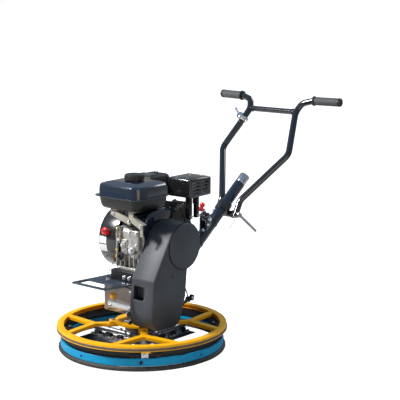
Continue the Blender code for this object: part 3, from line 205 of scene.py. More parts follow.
# Painted shade: the fins' casting is a darker copy of the engine's casting, standing for the shade in the hollows
# between the fins.
FIN_CAST_SHADE = finish_of("fin_casting_painted_shade", (0.13, 0.126, 0.12), 0.42, metallic=0.75, mottle=0.2,
                      clouds=60.0, grain=0.5, grain_scale=500.0)
STEEL = finish_of("bare_steel", (0.4, 0.4, 0.405), 0.34, metallic=1.0, mottle=0.12, clouds=60.0, grain=0.12)
ZINC = finish_of("zinc_plate", (0.62, 0.63, 0.64), 0.26, metallic=1.0, mottle=0.1, clouds=80.0)
BLADE_STEEL = finish_of("rolled_steel", (0.055, 0.057, 0.062), 0.4, metallic=0.85, mottle=0.3,
                        clouds=18.0, grain=0.2)
CHROME = finish_of("chrome_plate", (0.8, 0.805, 0.815), 0.1, metallic=1.0, mottle=0.04)
BRASS = finish_of("yellow_zinc", (0.62, 0.4, 0.12), 0.3, metallic=1.0, mottle=0.15, clouds=80.0)
ORANGE = finish_of("plug_orange", (0.86, 0.36, 0.015), 0.4, coat=0.2)
RED = finish_of("red_moulding", (0.8, 0.012, 0.014), 0.3, coat=0.3, mottle=0.06)
BEIGE = finish_of("bracket_paint", (0.36, 0.345, 0.29), 0.45, metallic=0.2, grain=0.15)
LABEL = finish_of("blank_label", (0.78, 0.78, 0.79), 0.4, mottle=0.05)
PATCH = finish_of("blank_patch", (0.03, 0.033, 0.038), 0.34, coat=0.3, mottle=0.25, clouds=50.0)

NODE_FINISH = {
    YELLOW: ["guard_ring"], BLUE: ["edge_ring"], HOSE: ["edge_bumper"],
    GUARD_GREY: ["belt_guard", "belt_guard_back"],
    NAVY: ["handle_base_tube", "handle_tube"], DECK: ["deck_plate"], TANK_NAVY: ["fuel_tank"],
    BLACK: ["blower_housing", "muffler_shield", "handle_bracket", "handle_clamp", "pitch_yoke"],
    BAR_BLACK: ["handlebar"],
    SATIN_BLACK: ["engine_mount"],
    PLASTIC: ["starter_cover", "starter_grip", "fuel_cap", "air_cleaner", "throttle_cable_upper",
              "throttle_cable_lower", "pitch_cable"],
    RUBBER: ["v_belt", "grip_left", "grip_right"], GREY_CAST: ["gearbox_housing", "gearbox_cover"],
    BRIGHT_CAST: ["crankcase", "carburettor", "flywheel"], FIN_CAST_SHADE: ["cylinder", "cylinder_head"],
    STEEL: ["output_shaft", "spider_hub", "thrust_plate", "thrust_collar", "worm_shaft", "crankshaft",
            "driven_pulley", "clutch_pulley", "muffler", *[f"trowel_arm_{number}" for number in FOUR]],
    BLADE_STEEL: [f"trowel_blade_{number}" for number in FOUR],
    CHROME: [*[f"ring_roller_{number}" for number in FOUR], "pitch_knob", "clamp_lever", "throttle_lever"],
    BRASS: ["worm_wheel"], RED: ["stop_switch", "fold_lock_knob"],
}
FINISH = {node: material for material, nodes in NODE_FINISH.items() for node in nodes}


# --- shapes -----------------------------------------------------------------------------------------

def circle(steps):
    """The cosine and sine of each step round a circle."""
    return [(math.cos(math.tau * step / steps), math.sin(math.tau * step / steps)) for step in range(steps)]


def polar(radius, angle, z):
    return Vector((radius * math.cos(angle), radius * math.sin(angle), z))


def around(centre, x, radius, angle):
    """A point on a circle about an axis along X, its angle counted from +Y towards +Z."""
    return Vector((x, centre.y + radius * math.cos(angle), centre.z + radius * math.sin(angle)))


def mirrored(spot, side):
    return Vector((spot[0] * side, spot[1], spot[2]))


def turn_to(axis):
    """The rotation that carries local +Z onto an axis."""
    return UP.rotation_difference(Vector(axis).normalized()).to_matrix().to_4x4()


def frame_at(origin, x_axis, y_axis, z_axis):
    """The matrix that places local axes along three directions."""
    return Matrix.Translation(origin) @ Matrix((x_axis, y_axis, z_axis)).transposed().to_4x4()


def skin(shape, rings, loop=False):
    """Join rings of points into a surface. A ring of one point is a tip, and open ends are filled."""
    made = [[shape.verts.new(point) for point in ring] for ring in rings]
    pairs = list(zip(made, made[1:])) + ([(made[-1], made[0])] if loop else [])
    for below, above in pairs:
        count = max(len(below), len(above))
        for index in range(count):
            ahead = (index + 1) % count
            corners = [below[index % len(below)], below[ahead % len(below)], above[ahead % len(above)],
                       above[index % len(above)]]
            corners = list(dict.fromkeys(corners))
            if len(corners) > 2:
                shape.faces.new(corners)
    if not loop:
        for ring in (made[0], made[-1]):
            if len(ring) > 2:
                shape.faces.new(ring)


def turned(shape, profile, origin=ORIGIN, axis=UP, steps=48, loop=False):
    """Turn (radius, height) points about an axis."""
    place = Matrix.Translation(origin) @ turn_to(axis)
    skin(shape, [[place @ Vector((radius * cosine, radius * sine, height))
                  for cosine, sine in circle(steps if radius else 1)] for radius, height in profile], loop)


def hoop(shape, profile, origin=ORIGIN, axis=UP, steps=48):
    """Turn a closed section about an axis."""
    turned(shape, profile, origin, axis, steps, True)


def washer(shape, inner, outer, thick, origin, axis, steps=48):
    hoop(shape, [(inner, 0), (outer, 0), (outer, thick), (inner, thick)], origin, axis, steps)


def cap(shape, radius, edge, shoulder, height, spot, axis, sides):
    """A round or many-sided head whose rim is drawn in above its shoulder."""
    turned(shape, [(radius, 0), (radius, shoulder), (edge, height), (0, height)], spot, axis, sides)


def rod(shape, start, end, radius, sides=20, chamfer=0):
    """A round bar between two points, its ends chamfered."""
    start, end = Vector(start), Vector(end)
    length = (end - start).length
    profile = [(radius - chamfer, 0), (radius, chamfer), (radius, length - chamfer), (radius - chamfer, length)]
    turned(shape, profile if chamfer else [(radius, 0), (radius, length)], start, end - start, sides)


def tube(shape, path, radius, sides=20):
    """A round bar along a path, its section carried along without twist."""
    path = [Vector(point) for point in path]
    heading = (path[1] - path[0]).normalized()
    side = heading.orthogonal().normalized()
    rings = []
    for index, point in enumerate(path):
        ahead = (path[min(index + 1, len(path) - 1)] - path[max(index - 1, 0)]).normalized()
        side = (heading.rotation_difference(ahead) @ side).normalized()
        heading = ahead
        other = heading.cross(side)
        rings.append([point + (side * cosine + other * sine) * radius for cosine, sine in circle(sides)])
    skin(shape, rings)


def wire(shape, radius, sides, *points):
    """A thin bar on a smooth curve through the given points."""
    tube(shape, smooth_path(points), radius, sides)


def block(shape, low, high, bevel=1, segments=2, matrix=None):
    """A block between two corners with rounded edges, optionally placed by a matrix."""
    low, high = Vector(low), Vector(high)
    place = Matrix.Translation((low + high) / 2) @ Matrix.Diagonal((*(high - low), 1.0))
    corners = bmesh.ops.create_cube(shape, size=1.0, matrix=(matrix or Matrix.Identity(4)) @ place)["verts"]
    edges = list({edge for corner in corners for edge in corner.link_edges})
    bmesh.ops.bevel(shape, geom=edges, offset=bevel, segments=segments, affect="EDGES", profile=0.5)


def rounded(corners, closed=True, steps=6):
    """Round the corners of a path of (point, radius)."""
    path = []
    count = len(corners)
    for index, (spot, radius) in enumerate(corners):
        here = Vector(spot)
        if radius == 0 or (not closed and index in (0, count - 1)):
            path.append(here)
            continue
        back = (Vector(corners[index - 1][0]) - here).normalized()
        ahead = (Vector(corners[(index + 1) % count][0]) - here).normalized()
        half = back.angle(ahead) / 2
        reach = radius / math.tan(half)
        centre = here + (back + ahead).normalized() * radius / math.sin(half)
        first, last = here + back * reach - centre, here + ahead * reach - centre
        sweep = first.angle(last)
        for step in range(steps + 1):
            share = step / steps
            mix = first * math.sin((1 - share) * sweep) + last * math.sin(share * sweep)
            path.append(centre + mix / math.sin(sweep))
    return path


def oblong(corner_pair, radius, inset):
    """A rectangle with round corners, drawn in by an inset."""
    (x_low, y_low), (x_high, y_high) = corner_pair
    x_low, y_low, x_high, y_high = x_low + inset, y_low + inset, x_high - inset, y_high - inset
    bend = max(2, radius - inset)
    return rounded([(spot, bend) for spot in ((x_low, y_low), (x_high, y_low), (x_high, y_high), (x_low, y_high))])


def stack(shape, corner_pair, radius, levels):
    """A soft-edged body: the same oblong at several heights, each with its own inset."""
    skin(shape, [[Vector((*point, height)) for point in oblong(corner_pair, radius, inset)]
                 for height, inset in levels])


def slab(shape, outline, x_low, x_high, bevel):
    """An outline of (y, z) points pulled out along X, its rim stepped in at both faces."""
    middle = Vector((sum(point[0] for point in outline), sum(point[1] for point in outline))) / len(outline)
    rings = []
    for x, draw in ((x_low, bevel), (x_low + bevel, 0.0), (x_high - bevel, 0.0), (x_high, bevel)):
        points = [Vector(point) + (middle - Vector(point)).normalized() * draw for point in outline]
        rings.append([Vector((x, *point)) for point in points])
    skin(shape, rings)


def smooth_path(points, spacing=6):
    """Points at an even spacing on a Catmull-Rom curve through the given points."""
    knots = [Vector(point) for point in points]
    knots = [2 * knots[0] - knots[1], *knots, 2 * knots[-1] - knots[-2]]
    path = []
    for index in range(1, len(knots) - 2):
        before, start, end, after = knots[index - 1:index + 3]
        steps = max(2, round((end - start).length / spacing))
        for step in range(steps):
            t = step / steps
            path.append(0.5 * (2 * start + (end - before) * t + (2 * before - 5 * start + 4 * end - after) * t * t
                               + (3 * start - before - 3 * end + after) * t ** 3))
    path.append(knots[-2])
    return path


def bolt(shape, spot, axis, size, seated=True):
    """A hexagon head, seated on a washer, its foot at a spot on a surface; size is the thread's diameter."""
    spot, axis = Vector(spot), Vector(axis).normalized()
    lift = size * 0.22 if seated else 0
    if seated:
        cap(shape, size * 1.15, size * 1.1, lift * 0.8, lift, spot, axis, 20)
    cap(shape, size * 0.98, size * 0.82, size * 0.5, size * 0.62, spot + axis * lift, axis, 6)


def bolts(shape, axis, size, *spots):
    for spot in spots:
        bolt(shape, spot, axis, size)


def socket_screws(shape, axis, size, *spots):
    """Round cap heads with a hexagon socket."""
    profile = [(0.85, 0), (0.85, 0.75), (0.75, 0.85), (0.45, 0.85), (0.42, 0.4), (0, 0.4)]
    for spot in spots:
        turned(shape, [(radius * size, height * size) for radius, height in profile], spot, axis, 18)


def coil(shape, start, end, radius, thickness, turns):
    """A helical spring with a straight hook at each end."""
    start, end = Vector(start), Vector(end)
    along = (end - start).normalized()
    side = along.orthogonal().normalized()
    other = along.cross(side)
    length = (end - start).length
    path = [start]
    count = turns * 10
    for step in range(count + 1):
        turn = math.tau * step / 10
        reach = length * (0.15 + 0.70 * step / count)
        path.append(start + along * reach + (side * math.cos(turn) + other * math.sin(turn)) * radius)
    path.append(end)
    tube(shape, path, thickness, 6)


def on_tube(along, across=0.0, x=0.0):
    """A point by its distance up the main tube and its height above the tube's centre line."""
    return TUBE_SEAM + ALONG * along + ACROSS * across + Vector((x, 0, 0))


# --- pieces -----------------------------------------------------------------------------------------

def publish(name, shape, material, body="root", slot=None, stands_for=None, angle=35, ride=True, scale=MM):
    """Make the piece in metres on the blades' axis, smooth it and hang it on its body."""
    bmesh.ops.recalc_face_normals(shape, faces=shape.faces)
    mesh = bpy.data.meshes.new(name)
    shape.to_mesh(mesh)
    shape.free()
    mesh.transform(Matrix.Translation(AXIS) @ Matrix.Scale(scale, 4))
    mesh.materials.append(material)
    made = bpy.data.objects.new(name, mesh)
    bpy.context.scene.collection.objects.link(made)
    mesh.shade_smooth()
    mesh.set_sharp_from_angle(angle=math.radians(angle))
    if ride:
        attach(made, body)
    if stands_for:
        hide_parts(stands_for)
    return made


def piece(name, material, *steps, **options):
    """Build a mesh step by step and publish it."""
    shape = bmesh.new()
    for build, *measures in steps:
        build(shape, *measures)
    if name.endswith("_fine"):
        node = name.removesuffix("_fine")
        options = {"stands_for": node, "body": NODES[node]["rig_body"], **options}
    return publish(name, shape, material, **options)


def refined(node, bevel=0.8, angle=30, segments=2):
    """A CAD node's own shape, in metres, with its hard edges rounded off by a bevel in millimetres."""
    source = NODES[node]
    shape = bmesh.new()
    shape.from_mesh(source.data)
    bmesh.ops.remove_doubles(shape, verts=shape.verts, dist=WELD)
    bmesh.ops.dissolve_limit(shape, angle_limit=math.radians(1.0), verts=shape.verts, edges=shape.edges)
    hard = [edge for edge in shape.edges if len(edge.link_faces) == 2 and edge.calc_face_angle(0) > math.radians(angle)]
    bmesh.ops.bevel(shape, geom=hard, offset=bevel * MM, segments=segments, affect="EDGES", profile=0.5,
                    clamp_overlap=True)
    bmesh.ops.translate(shape, vec=-AXIS, verts=shape.verts)
    return publish(f"{node}_fine", shape, FINISH[node], source["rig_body"], stands_for=node, angle=angle, scale=1)


def smoothing_group():
    """A node group that welds a mesh and shades it smooth, apart from its sharp edges."""
    group = bpy.data.node_groups.new("shade_by_angle", "GeometryNodeTree")
    for way in ("INPUT", "OUTPUT"):
        group.interface.new_socket("Geometry", in_out=way, socket_type="NodeSocketGeometry")
    start, end = add_node(group, "NodeGroupInput"), add_node(group, "NodeGroupOutput")
    drop = add_node(group, "GeometryNodeRemoveAttribute", Name="custom_normal")
    weld = add_node(group, "GeometryNodeMergeByDistance", Distance=WELD)
    faces, edges = add_node(group, "GeometryNodeSetShadeSmooth"), add_node(group, "GeometryNodeSetShadeSmooth")
    edges.domain = "EDGE"
    bend = add_node(group, "GeometryNodeInputMeshEdgeAngle")
    flat = add_node(group, "FunctionNodeCompare")
    flat.operation = "LESS_THAN"
    flat.inputs[1].default_value = SHARP_BEND
    link(group, (bend, "Unsigned Angle", flat, 0), (flat, 0, edges, "Shade Smooth"))
    chain = (start, drop, weld, faces, edges, end)
    link(group, *[(source, "Geometry", target, "Geometry") for source, target in zip(chain, chain[1:])])
    return group


def dress_nodes():
    """Give every CAD node its finish and smooth shading."""
    group = smoothing_group()
    for name, material in FINISH.items():
        node = NODES[name]
        node.data.materials.clear()
        node.data.materials.append(material)
        node.modifiers.new("shade by angle", "NODES").node_group = group


# --- rings and rotor --------------------------------------------------------------------------------

def edge_ring_surface():
    """The blue band with its inner flange."""
    inner = EDGE_R - 3
    piece("edge_ring_fine", BLUE, (hoop, [(EDGE_R - 0.8, 48), (EDGE_R, 47.2), (EDGE_R, 21.7), (EDGE_R - 0.8, 20.9),
                                          (inner, 20.9), (inner, 39.5), (270, 39.5), (270, 43.5), (inner, 43.5),
                                          (inner, 48)], ORIGIN, UP, RING_STEPS))


def bumper_surface():
    """The rubber hose under the band, wrapped in slanting ribs."""
    length_steps, sides, ribs = 1080, 14, 180
    rings = []
    for step in range(length_steps):
        turn = math.tau * step / length_steps
        ring = []
        for side in range(sides):
            tilt = math.tau * side / sides
            radius = BUMPER_TUBE_R - 0.2 + 0.7 * max(-0.4, math.sin(ribs * turn + 2 * tilt))
            ring.append(polar(BUMPER_R + radius * math.cos(tilt), turn, BUMPER_Z + radius * math.sin(tilt)))
        rings.append(ring)
    piece("edge_bumper_fine", HOSE, (skin, rings, True), angle=60)


def guard_ring_surface():
    """The yellow ring and the strip along its edge. The skirt inside the ring and the rollers' tabs under it are black,
    partly as the skirt's own dark paint and partly as painted shade for the dark gap under the ring.
    """
    ring = refined("guard_ring", 1.4)
    ring.data.materials.append(SATIN_BLACK)
    # Partly painted shade: faces of the inner skirt and of the rollers' tabs take the black finish, for the dark gap
    # under the ring.
    for face in ring.data.polygons:
        spot = (face.center - AXIS) / MM
        radius = math.hypot(spot.x, spot.y)
        on_skirt = spot.z < 75.7 and radius < 289
        on_tab = spot.z < 83.2 and 243.5 < radius < 300.5
        if on_skirt or on_tab:
            face.material_index = 1
    for name, material, shoulder, heights in (
            ("guard_ring_strip", STRIP, 1.2, (78.3, 78.6, 79.5, 85.5, 86.4, 86.7)),
            ("guard_ring_lip", YELLOW, 1, (75.6, 75.7, 76.4, 77.4, 78.1, 78.2))):
        reaches = (-1, shoulder, 1.9, 1.9, shoulder, -1)
        profile = [(RING_R + reach, height) for reach, height in zip(reaches, heights)]
        piece(name, material, (hoop, profile, ORIGIN, UP, RING_STEPS))


def ring_fasteners():
    """The rollers' bolts and sleeves, the brackets and lugs inside the skirt, and the bolts of the blue ring."""
    heads, sleeves, plates, lugs, studs = [], [], [], [], []
    for angle in DIAGONALS:
        heads += [(bolt, polar(ROLLER_AXIS_R, angle, 82.9), UP, 5.5, False), (bolt, polar(104, angle, HUB_TOP), UP, 7)]
        sleeves += [(turned, [(7.8, 0), (8.5, 2), (8.5, 14), (7.8, 16)], polar(ROLLER_AXIS_R, angle, 50), UP, 20),
                    (washer, 6.2, 7.8, 4, polar(ROLLER_AXIS_R, angle, 29), UP, 20)]
        turn = Matrix.Rotation(angle, 4, "Z")
        plates += [(block, (284.5, -15, 49.5), (289.5, 9, 69), 0.8, 2, turn),
                   (bolt, turn @ Vector((289.5, -4, 59)), polar(1, angle, 0), 6.5)]
        lugs += [(block, (284.5, -6, 50), (289.5, 6, 64), 0.8, 2,
                  Matrix.Rotation(angle + shift, 4, "Z")) for shift in (-0.16, -0.1, 0.13, 0.17)]
    for index in range(8):
        angle = math.radians(-48.2 + 45 * index)
        size, sides = (3.6, 16) if index % 2 else (7.4, 6)
        head = [(size, 0), (size, 0.8), (size * 0.86, 1.6), (size * 0.58, 1.6), (size * 0.52, 0.6), (0, 0.6)]
        studs.append((turned, head, polar(EDGE_R - 0.2, angle, 34.5), polar(1, angle, 0), sides))
    piece("guard_ring_bolts", STEEL, *heads)
    piece("roller_sleeves", CHROME, *sleeves)
    piece("ring_brackets", ZINC, *plates)
    piece("ring_lugs", SATIN_BLACK, *lugs)
    piece("edge_ring_bolts", SATIN_BLACK, *studs, body="edge_ring")


def blade_fittings():
    """The bright carrier bar on each blade, its bolts and the arm's grease nipple."""
    for number in FOUR:
        turn = Matrix.Rotation((number - 1) * math.tau / 4, 4, "Z")
        body = f"blade_{number}"
        refined(f"trowel_blade_{number}", 0.5)
        piece(f"blade_bar_{number}", ZINC, (block, (84.6, -19.4, 2.8), (245.4, 19.4, 8.3), 0.7, 2, turn), body=body)
        piece(f"blade_bolts_{number}", STEEL,
              (bolts, UP, 6, *[turn @ Vector((x, y, 8.3)) for x in (92, 135, 193, 238) for y in (-13.5, 13.5)]),
              (bolts, UP, 7, *[turn @ Vector((x, 0, 43.2)) for x in (105, 165, 222)]),
              (turned, [(3.2, 0), (3.2, 3), (1.8, 4), (1.8, 6), (2.6, 7.5), (1.4, 9.5), (0, 9.8)],
               turn @ Vector((70, 0, 43.5)), UP, 12),
              (turned, [(9.2, 0), (11.2, 1), (11.2, 4), (10, 5.5), (0, 5.5)], turn @ Vector((234.5, 0, 33)),
               turn @ RIGHT, 20), body=body)


def rotor_fittings():
    """The washer and bolt under the hub, and the shaft's circlip above it."""
    piece("hub_bolts", STEEL, (cap, 16, 15.5, 1.5, 2, (0, 0, 18), DOWN, 28), (bolt, (0, 0, 16), DOWN, 10),
          body="rotor")
    piece("shaft_circlip", STEEL, (washer, 12.5, 16.5, 1.2, (0, 0, 101.2), UP, 32), body="rotor")


# --- gearbox, deck and belt drive -------------------------------------------------------------------

def gearbox_fittings():
    """The gearbox's plug, blank strip, gasket, bolts and the cap over the worm's bearing."""
    refined("gearbox_housing", 1)
    refined("gearbox_cover")
    front, plug = GEARBOX_FRONT, Vector((-45, GEARBOX_FRONT, 203))
    piece("gearbox_plug", ORANGE, (cap, 12.5, 11.5, 3, 4, plug, FRONT, 28),
          (cap, 10, 8.5, 6, 7.5, plug + FRONT * 4, FRONT, 6))
    piece("gearbox_front_plate", ZINC, (block, (-70, front - 3.5, 150), (48, front + 1, 183), 1.2),
          slot="cast_aluminium")
    piece("gearbox_bolts", ZINC, (socket_screws, FRONT, 5.5, *[(x, front - 3.5, 166.5) for x in (-60, 36)]),
          (bolts, FRONT, 5, *[(x, front, 232) for x in (-84, 40)]),
          (bolts, LEFT, 5, *[(GEARBOX_LEFT, y, z) for y in (-86, -30, 30) for z in (233, 160)]),
          (bolts, UP, 7, *[polar(44, math.radians(90 * index), 113.3) for index in range(4)]))
    piece("gearbox_gasket", SATIN_BLACK, (block, (-93.8, front - 0.8, 243.6), (50.8, 58.8, 245.4), 0.4, 1),
          slot="rubber")
    piece("worm_bearing_cap", GREY_CAST,
          (turned, [(24, 0), (24, 4), (21, 6), (12, 6), (11, 3), (0, 3)], (GEARBOX_LEFT, WORM.y, WORM.z), LEFT, 36),
          (socket_screws, LEFT, 4, *[around(WORM, -97, 17.5, index * math.tau / 3) for index in range(3)]))


def deck_fittings():
    """The bolts of the deck and of the engine's frame, and an earth wire."""
    refined("deck_plate", 1.2)
    refined("engine_mount")
    piece("deck_bolts", ZINC,
          (bolts, UP, 8, *[(x, y, 280.5) for x in (-62.5, 29) for y in (-67.5, 124.5)], (-66.8, -104.2, DECK_TOP)),
          (bolts, FRONT, 8, (1.6, -90, 274), (26, -90, 274)))
    piece("earth_wire", PLASTIC,
          (wire, 1.3, 8, (-120, -20, 298), (-112, -46, 280), (-104, -66, 264), (-92, -76, 261.6), (-70, -94, 261.5)))


def belt_guard_fittings():
    """A flat black ring of painted shadow round the guard's raised disc, its screws and nuts, and a sheet behind its
    window.
    """
    refined("belt_guard", 0.9, 40)
    # Painted shadow: a thin black ring on the guard's face stands for the shadow in the gap round the raised disc.
    piece("belt_guard_groove", SATIN_BLACK, (washer, 81.2, 85.2, 0.9, (GUARD_FACE - 0.4, CRANK.y, CRANK.z), RIGHT, 96),
          slot="guard_grey")
    piece("belt_guard_screws", GUARD_GREY, (bolts, RIGHT, 3.8, (GUARD_FACE, -13.3, 287.8), (GUARD_FACE, -75, 150)))
    piece("belt_guard_nuts", ZINC, (bolts, LEFT, 8, (55.2, -120, 128), (55.2, -128, 160)),
          (rod, (30, -120, 128), (55.2, -120, 128), 4, 14))
    piece("belt_guard_window_sheet", DIAL_GREY, (block, (64, -90, 212), (122, -88.8, 266), 0.4), slot="navy_paint")


# --- engine -----------------------------------------------------------------------------------------

def fuel_tank_surface():
    """The tank's two halves, the seam flange between them, its rivets and a blank patch. The lower half is painted
    darker and warmer than the upper: a painted reflection of a warm floor, and painted shade.
    """
    piece("fuel_tank_upper", TANK_NAVY,
          (stack, TANK, TANK_BEND,
           [(560, 0), (590, 1.5), (597.5, 3), (602.5, 7), (609.8, 33), (611.4, 40), (612, 50)]),
          (washer, 21.5, 24, 13, CAP_CENTRE + UP * 606, UP, 40), stands_for="fuel_tank", angle=24)
    # Painted reflection and shade: the lower half takes the darker, warmer copy of the tank's paint.
    piece("fuel_tank_lower", TANK_LOWER_SHADE,
          (stack, TANK, TANK_BEND, [(560, 2), (540, 4.5), (527, 8), (519, 14), (514.5, 24), (513.5, 34)]), angle=50)
    piece("fuel_tank_seam", TANK_NAVY,
          (stack, TANK_SEAM, TANK_BEND,
           [(558, 2.5), (558.3, 0.6), (559.3, 0), (560.8, 0), (561.8, 0.6), (562.1, 2.5)]), angle=50)
    piece("tank_side_patch", PATCH, (block, (81.5, -56, 565.5), (82.9, 48, 593.5), 0.4))
    piece("tank_rivets", TANK_NAVY, *[(bolt, (x, y, 561.9), UP, 3, False)
                                      for x, y in ((-123.5, -70), (-123.5, 30), (-60, -114.5), (40, -114.5))])


def fuel_cap_surface():
    """The cap's wall stands in ribs, and its top is dished."""
    ribs, steps = 22, 132
    rings = []
    for height, radius, depth in ((614.7, 33.5, 0), (615.5, 35, 1.2), (629.5, 34.6, 1.2), (632.4, 33.6, 0.6),
                                  (634.2, 31, 0), (635, 27, 0), (634.2, 24, 0), (633.8, 12, 0)):
        turns = [math.tau * step / steps for step in range(steps)]
        rings.append([polar(radius + depth * max(-0.6, min(0.6, 1.6 * math.cos(ribs * turn))), turn, height)
                      + CAP_CENTRE for turn in turns])
    piece("fuel_cap_fine", PLASTIC, (skin, rings), angle=30)


def air_cleaner_surface():
    """The air cleaner's cover, with a grey panel and a wing nut on top."""
    piece("air_cleaner_fine", PLASTIC, (stack, CLEANER, 18, [(532, 4), (533.5, 2), (552, 2), (553, 0), (557.5, 0),
                                                             (559, 2.5), (596, 4), (604, 7.5), (608.5, 14), (611, 26),
                                                             (611.7, 40)]), angle=28)
    piece("air_cleaner_panel", DIAL_GREY,
          (stack, ((-108, 98), (-38, 134)), 10, [(608.5, 0), (611.8, 0.6), (612.4, 2.2)]))
    wings = [Matrix.Translation(WING_NUT + Vector((side * 4, 0, 613)))
             @ Matrix.Rotation(side * math.radians(28), 4, "Y") for side in (-1, 1)]
    piece("air_cleaner_wing_nut", SATIN_BLACK,
          (turned, [(6, 610), (6, 613), (4.5, 614.5), (3.5, 616), (0, 616.3)], WING_NUT, UP, 24),
          *[(block, (-0.9, -3, 0), (0.9, 3, 6.2), 0.7, 2, wing) for wing in wings], slot="black_plastic")


def muffler_fittings():
    """The shield's legs and screws, and the silencer's outlet."""
    refined("muffler_shield", 0.5, 50)
    piece("muffler_legs", SATIN_BLACK, *[(block, (49, y, 448), (64, y + 16, 536), 1.2) for y in (190, 229)])
    piece("muffler_screws", STEEL, *[(turned, [(5.2, 0), (4.8, 1.4), (3, 2.6), (0, 3)], (x, y, 600), UP, 20)
                                     for x, y in ((8, 182), (60, 182), (8, 264), (60, 264))],
          (rod, (60, 276, 570), (60, 292, 566), 7.8, 24, 1), (bolts, RIGHT, 6, (64, 198, 458), (64, 237, 458)))


def crankcase_fittings():
    """The casting's ribs, pads and bosses, their bolts and the oil filler's cap."""
    refined("crankcase", 2.2, 30, 3)
    piece("crankcase_bosses", BRIGHT_CAST,
          *[(block, (-46 + 21.5 * index, -63.5, 302), (-41.5 + 21.5 * index, -46, 352), 1.2) for index in range(5)],
          (block, (-60, -65.5, 288), (50, -46, 305), 2.5, 3), (block, (2, -72, 370), (50, -50, 444), 5, 3),
          (block, (-36, -68, 350), (-6, -50, 406), 5, 3), (rod, (26, -60, 372), (26, -83, 372), 15, 28, 2),
          (rod, (-20, -60, 386), (-20, -76, 386), 12.5, 28, 2), (rod, (-30, -40, 330), (-30, -74, 344), 14.5, 28, 2),
          *[(rod, (x, 118, 310), (x, 132, 310), 12, 24, 2) for x in (-52, 40)],
          (block, (-50, 112, 340), (40, 126, 400), 4, 3))
    piece("crankcase_bolts", ZINC,
          (bolts, FRONT, 5.5, *[(x, -72, z) for x, z in ((10, 434), (42, 434), (10, 382), (42, 392))]),
          (bolt, (26, -83, 372), FRONT, 8.5), (bolt, (-20, -76, 386), FRONT, 6),
          (bolts, FRONT, 6, (-48, -65.5, 296.5), (34, -65.5, 296.5)), (bolts, UP, 7, (-50, -56, 293), (40, -56, 293)))
    piece("oil_filler_cap", SATIN_BLACK,
          (turned, [(15, 0), (15, 6), (13.5, 8), (5, 8), (5, 16), (4, 18), (0, 18)], (-30, -74, 344),
           (0, -0.925, 0.381), 12), slot="black_plastic")


def governor_linkage():
    """The bracket, springs and rods between the throttle control and the governor arm."""
    piece("governor_springs", BRASS, (coil, (-60, -62, 436), (-50, -66, 400), 3.2, 0.7, 12),
          (coil, (-64, -60, 376), (-60, -64, 336), 3.4, 0.7, 12),
          (wire, 1.3, 8, (-66, -55, 446), (-58, -64, 440), (-36, -70, 412), (-28, -70, 404)),
          (cap, 6, 4, 4, 6, (-60, -62, 362), FRONT, 6), (cap, 5, 3, 4, 6, (-62, -62, 338), FRONT, 6))
    piece("governor_bracket", ZINC, (block, (-65.5, -62, 300), (-62, -48, 450)),
          (block, (-64, -66, 418), (-38, -48, 421)), (block, (-44, -69, 390), (-40, -48, 446)),
          (cap, 7.5, 6, 5, 7, (-42, -69, 404), FRONT, 24),
          (wire, 1.6, 8, (-44, -66, 452), (-52, -72, 420), (-50, -74, 360), (-54, -70, 318)))
    piece("engine_wires", PLASTIC,
          (wire, 1.4, 8, (-120, -78, 424), (-100, -82, 430), (-78, -76, 436), (-62, -66, 430)),
          (wire, 1.4, 8, (-112, -66, 330), (-90, -74, 338), (-66, -66, 330), (-60, -58, 300)))


def tank_brackets():
    """The folded pale brackets that carry the tank's front edge, and the shroud between tank and cylinder."""
    struts = []
    for x, z, end_x, end_z in ((-60, 501, 30, 473), (22, 491.5, 83, 462.5)):
        run, drop = end_x - x, end_z - z
        length = math.hypot(run, drop)
        lean = Matrix.Translation((x, -85, z)) @ Matrix.Rotation(-math.atan2(drop, run), 4, "Y")
        struts += [(block, (0, -1.6, -10.5), (length, 1.6, 10.5), 1.4, 2, lean),
                   (block, (0, 0, 8.5), (length, 18, 11), 1, 2, lean)]
    piece("tank_brackets", BEIGE, *struts,
          *[(block, low, high, 1.2) for low, high in (
              ((-66, -86.6, 490), (-46, -83.4, 518)), ((-66, -86.6, 511.5), (-30, -52, 514.5)),
              ((20, -86.2, 490), (42, -83.8, 518)), ((20, -86.2, 511.5), (52, -52, 514.5)),
              ((74, -86.2, 430), (86, -83.8, 470)))])
    piece("tank_bracket_bolts", ZINC, (bolts, FRONT, 5.5, (-52, -86.6, 498.5), (22, -86.6, 475.5), (76, -86.6, 465.5)))
    piece("cylinder_shroud", NAVY, (slab, [(-36, 449), (-30, 474), (-16, 495), (6, 506), (90, 509), (108, 504),
                                           (118, 490), (118, 449)], -65, 50, 6), angle=60)
    piece("crank_side_sheet", NAVY, (slab, [(-40, 404), (-46, 440), (-20, 478), (10, 484), (10, 404)], 51, 54.5, 0.8))


def blower_fittings():
    """The blower's and the starter's screws, a plain badge and two blank labels."""
    refined("blower_housing", 1.2, 40)
    refined("starter_cover", 0.5, 40)
    piece("blower_bolts", ZINC,
          (bolts, LEFT, 6, *[around(CRANK, BLOWER_LEFT, 94, math.radians(20 + 90 * index)) for index in range(4)]),
          (bolts, LEFT, 5,
           *[around(CRANK, BLOWER_LEFT - 6.2, 73, math.radians(90 + 120 * index)) for index in range(3)]))
    piece("starter_badge", DIAL_GREY,
          (turned, [(20, 0), (19, 1.2), (12, 2), (0, 2.2)], (BLOWER_LEFT - 15, CRANK.y, CRANK.z), LEFT, 40))
    section = ((-146, 0.2), (-146, 0.8), (-112, 0.8), (-112, 0.2))
    for number, start, end in ((1, 172.5, 185.5), (2, 187.5, 201)):
        angles = [math.radians(start + (end - start) * step / 8) for step in range(9)]
        rings = [[around(CRANK, x, BLOWER_R + lift, angle) for x, lift in section] for angle in angles]
        piece(f"blank_label_{number}", LABEL, (skin, rings))


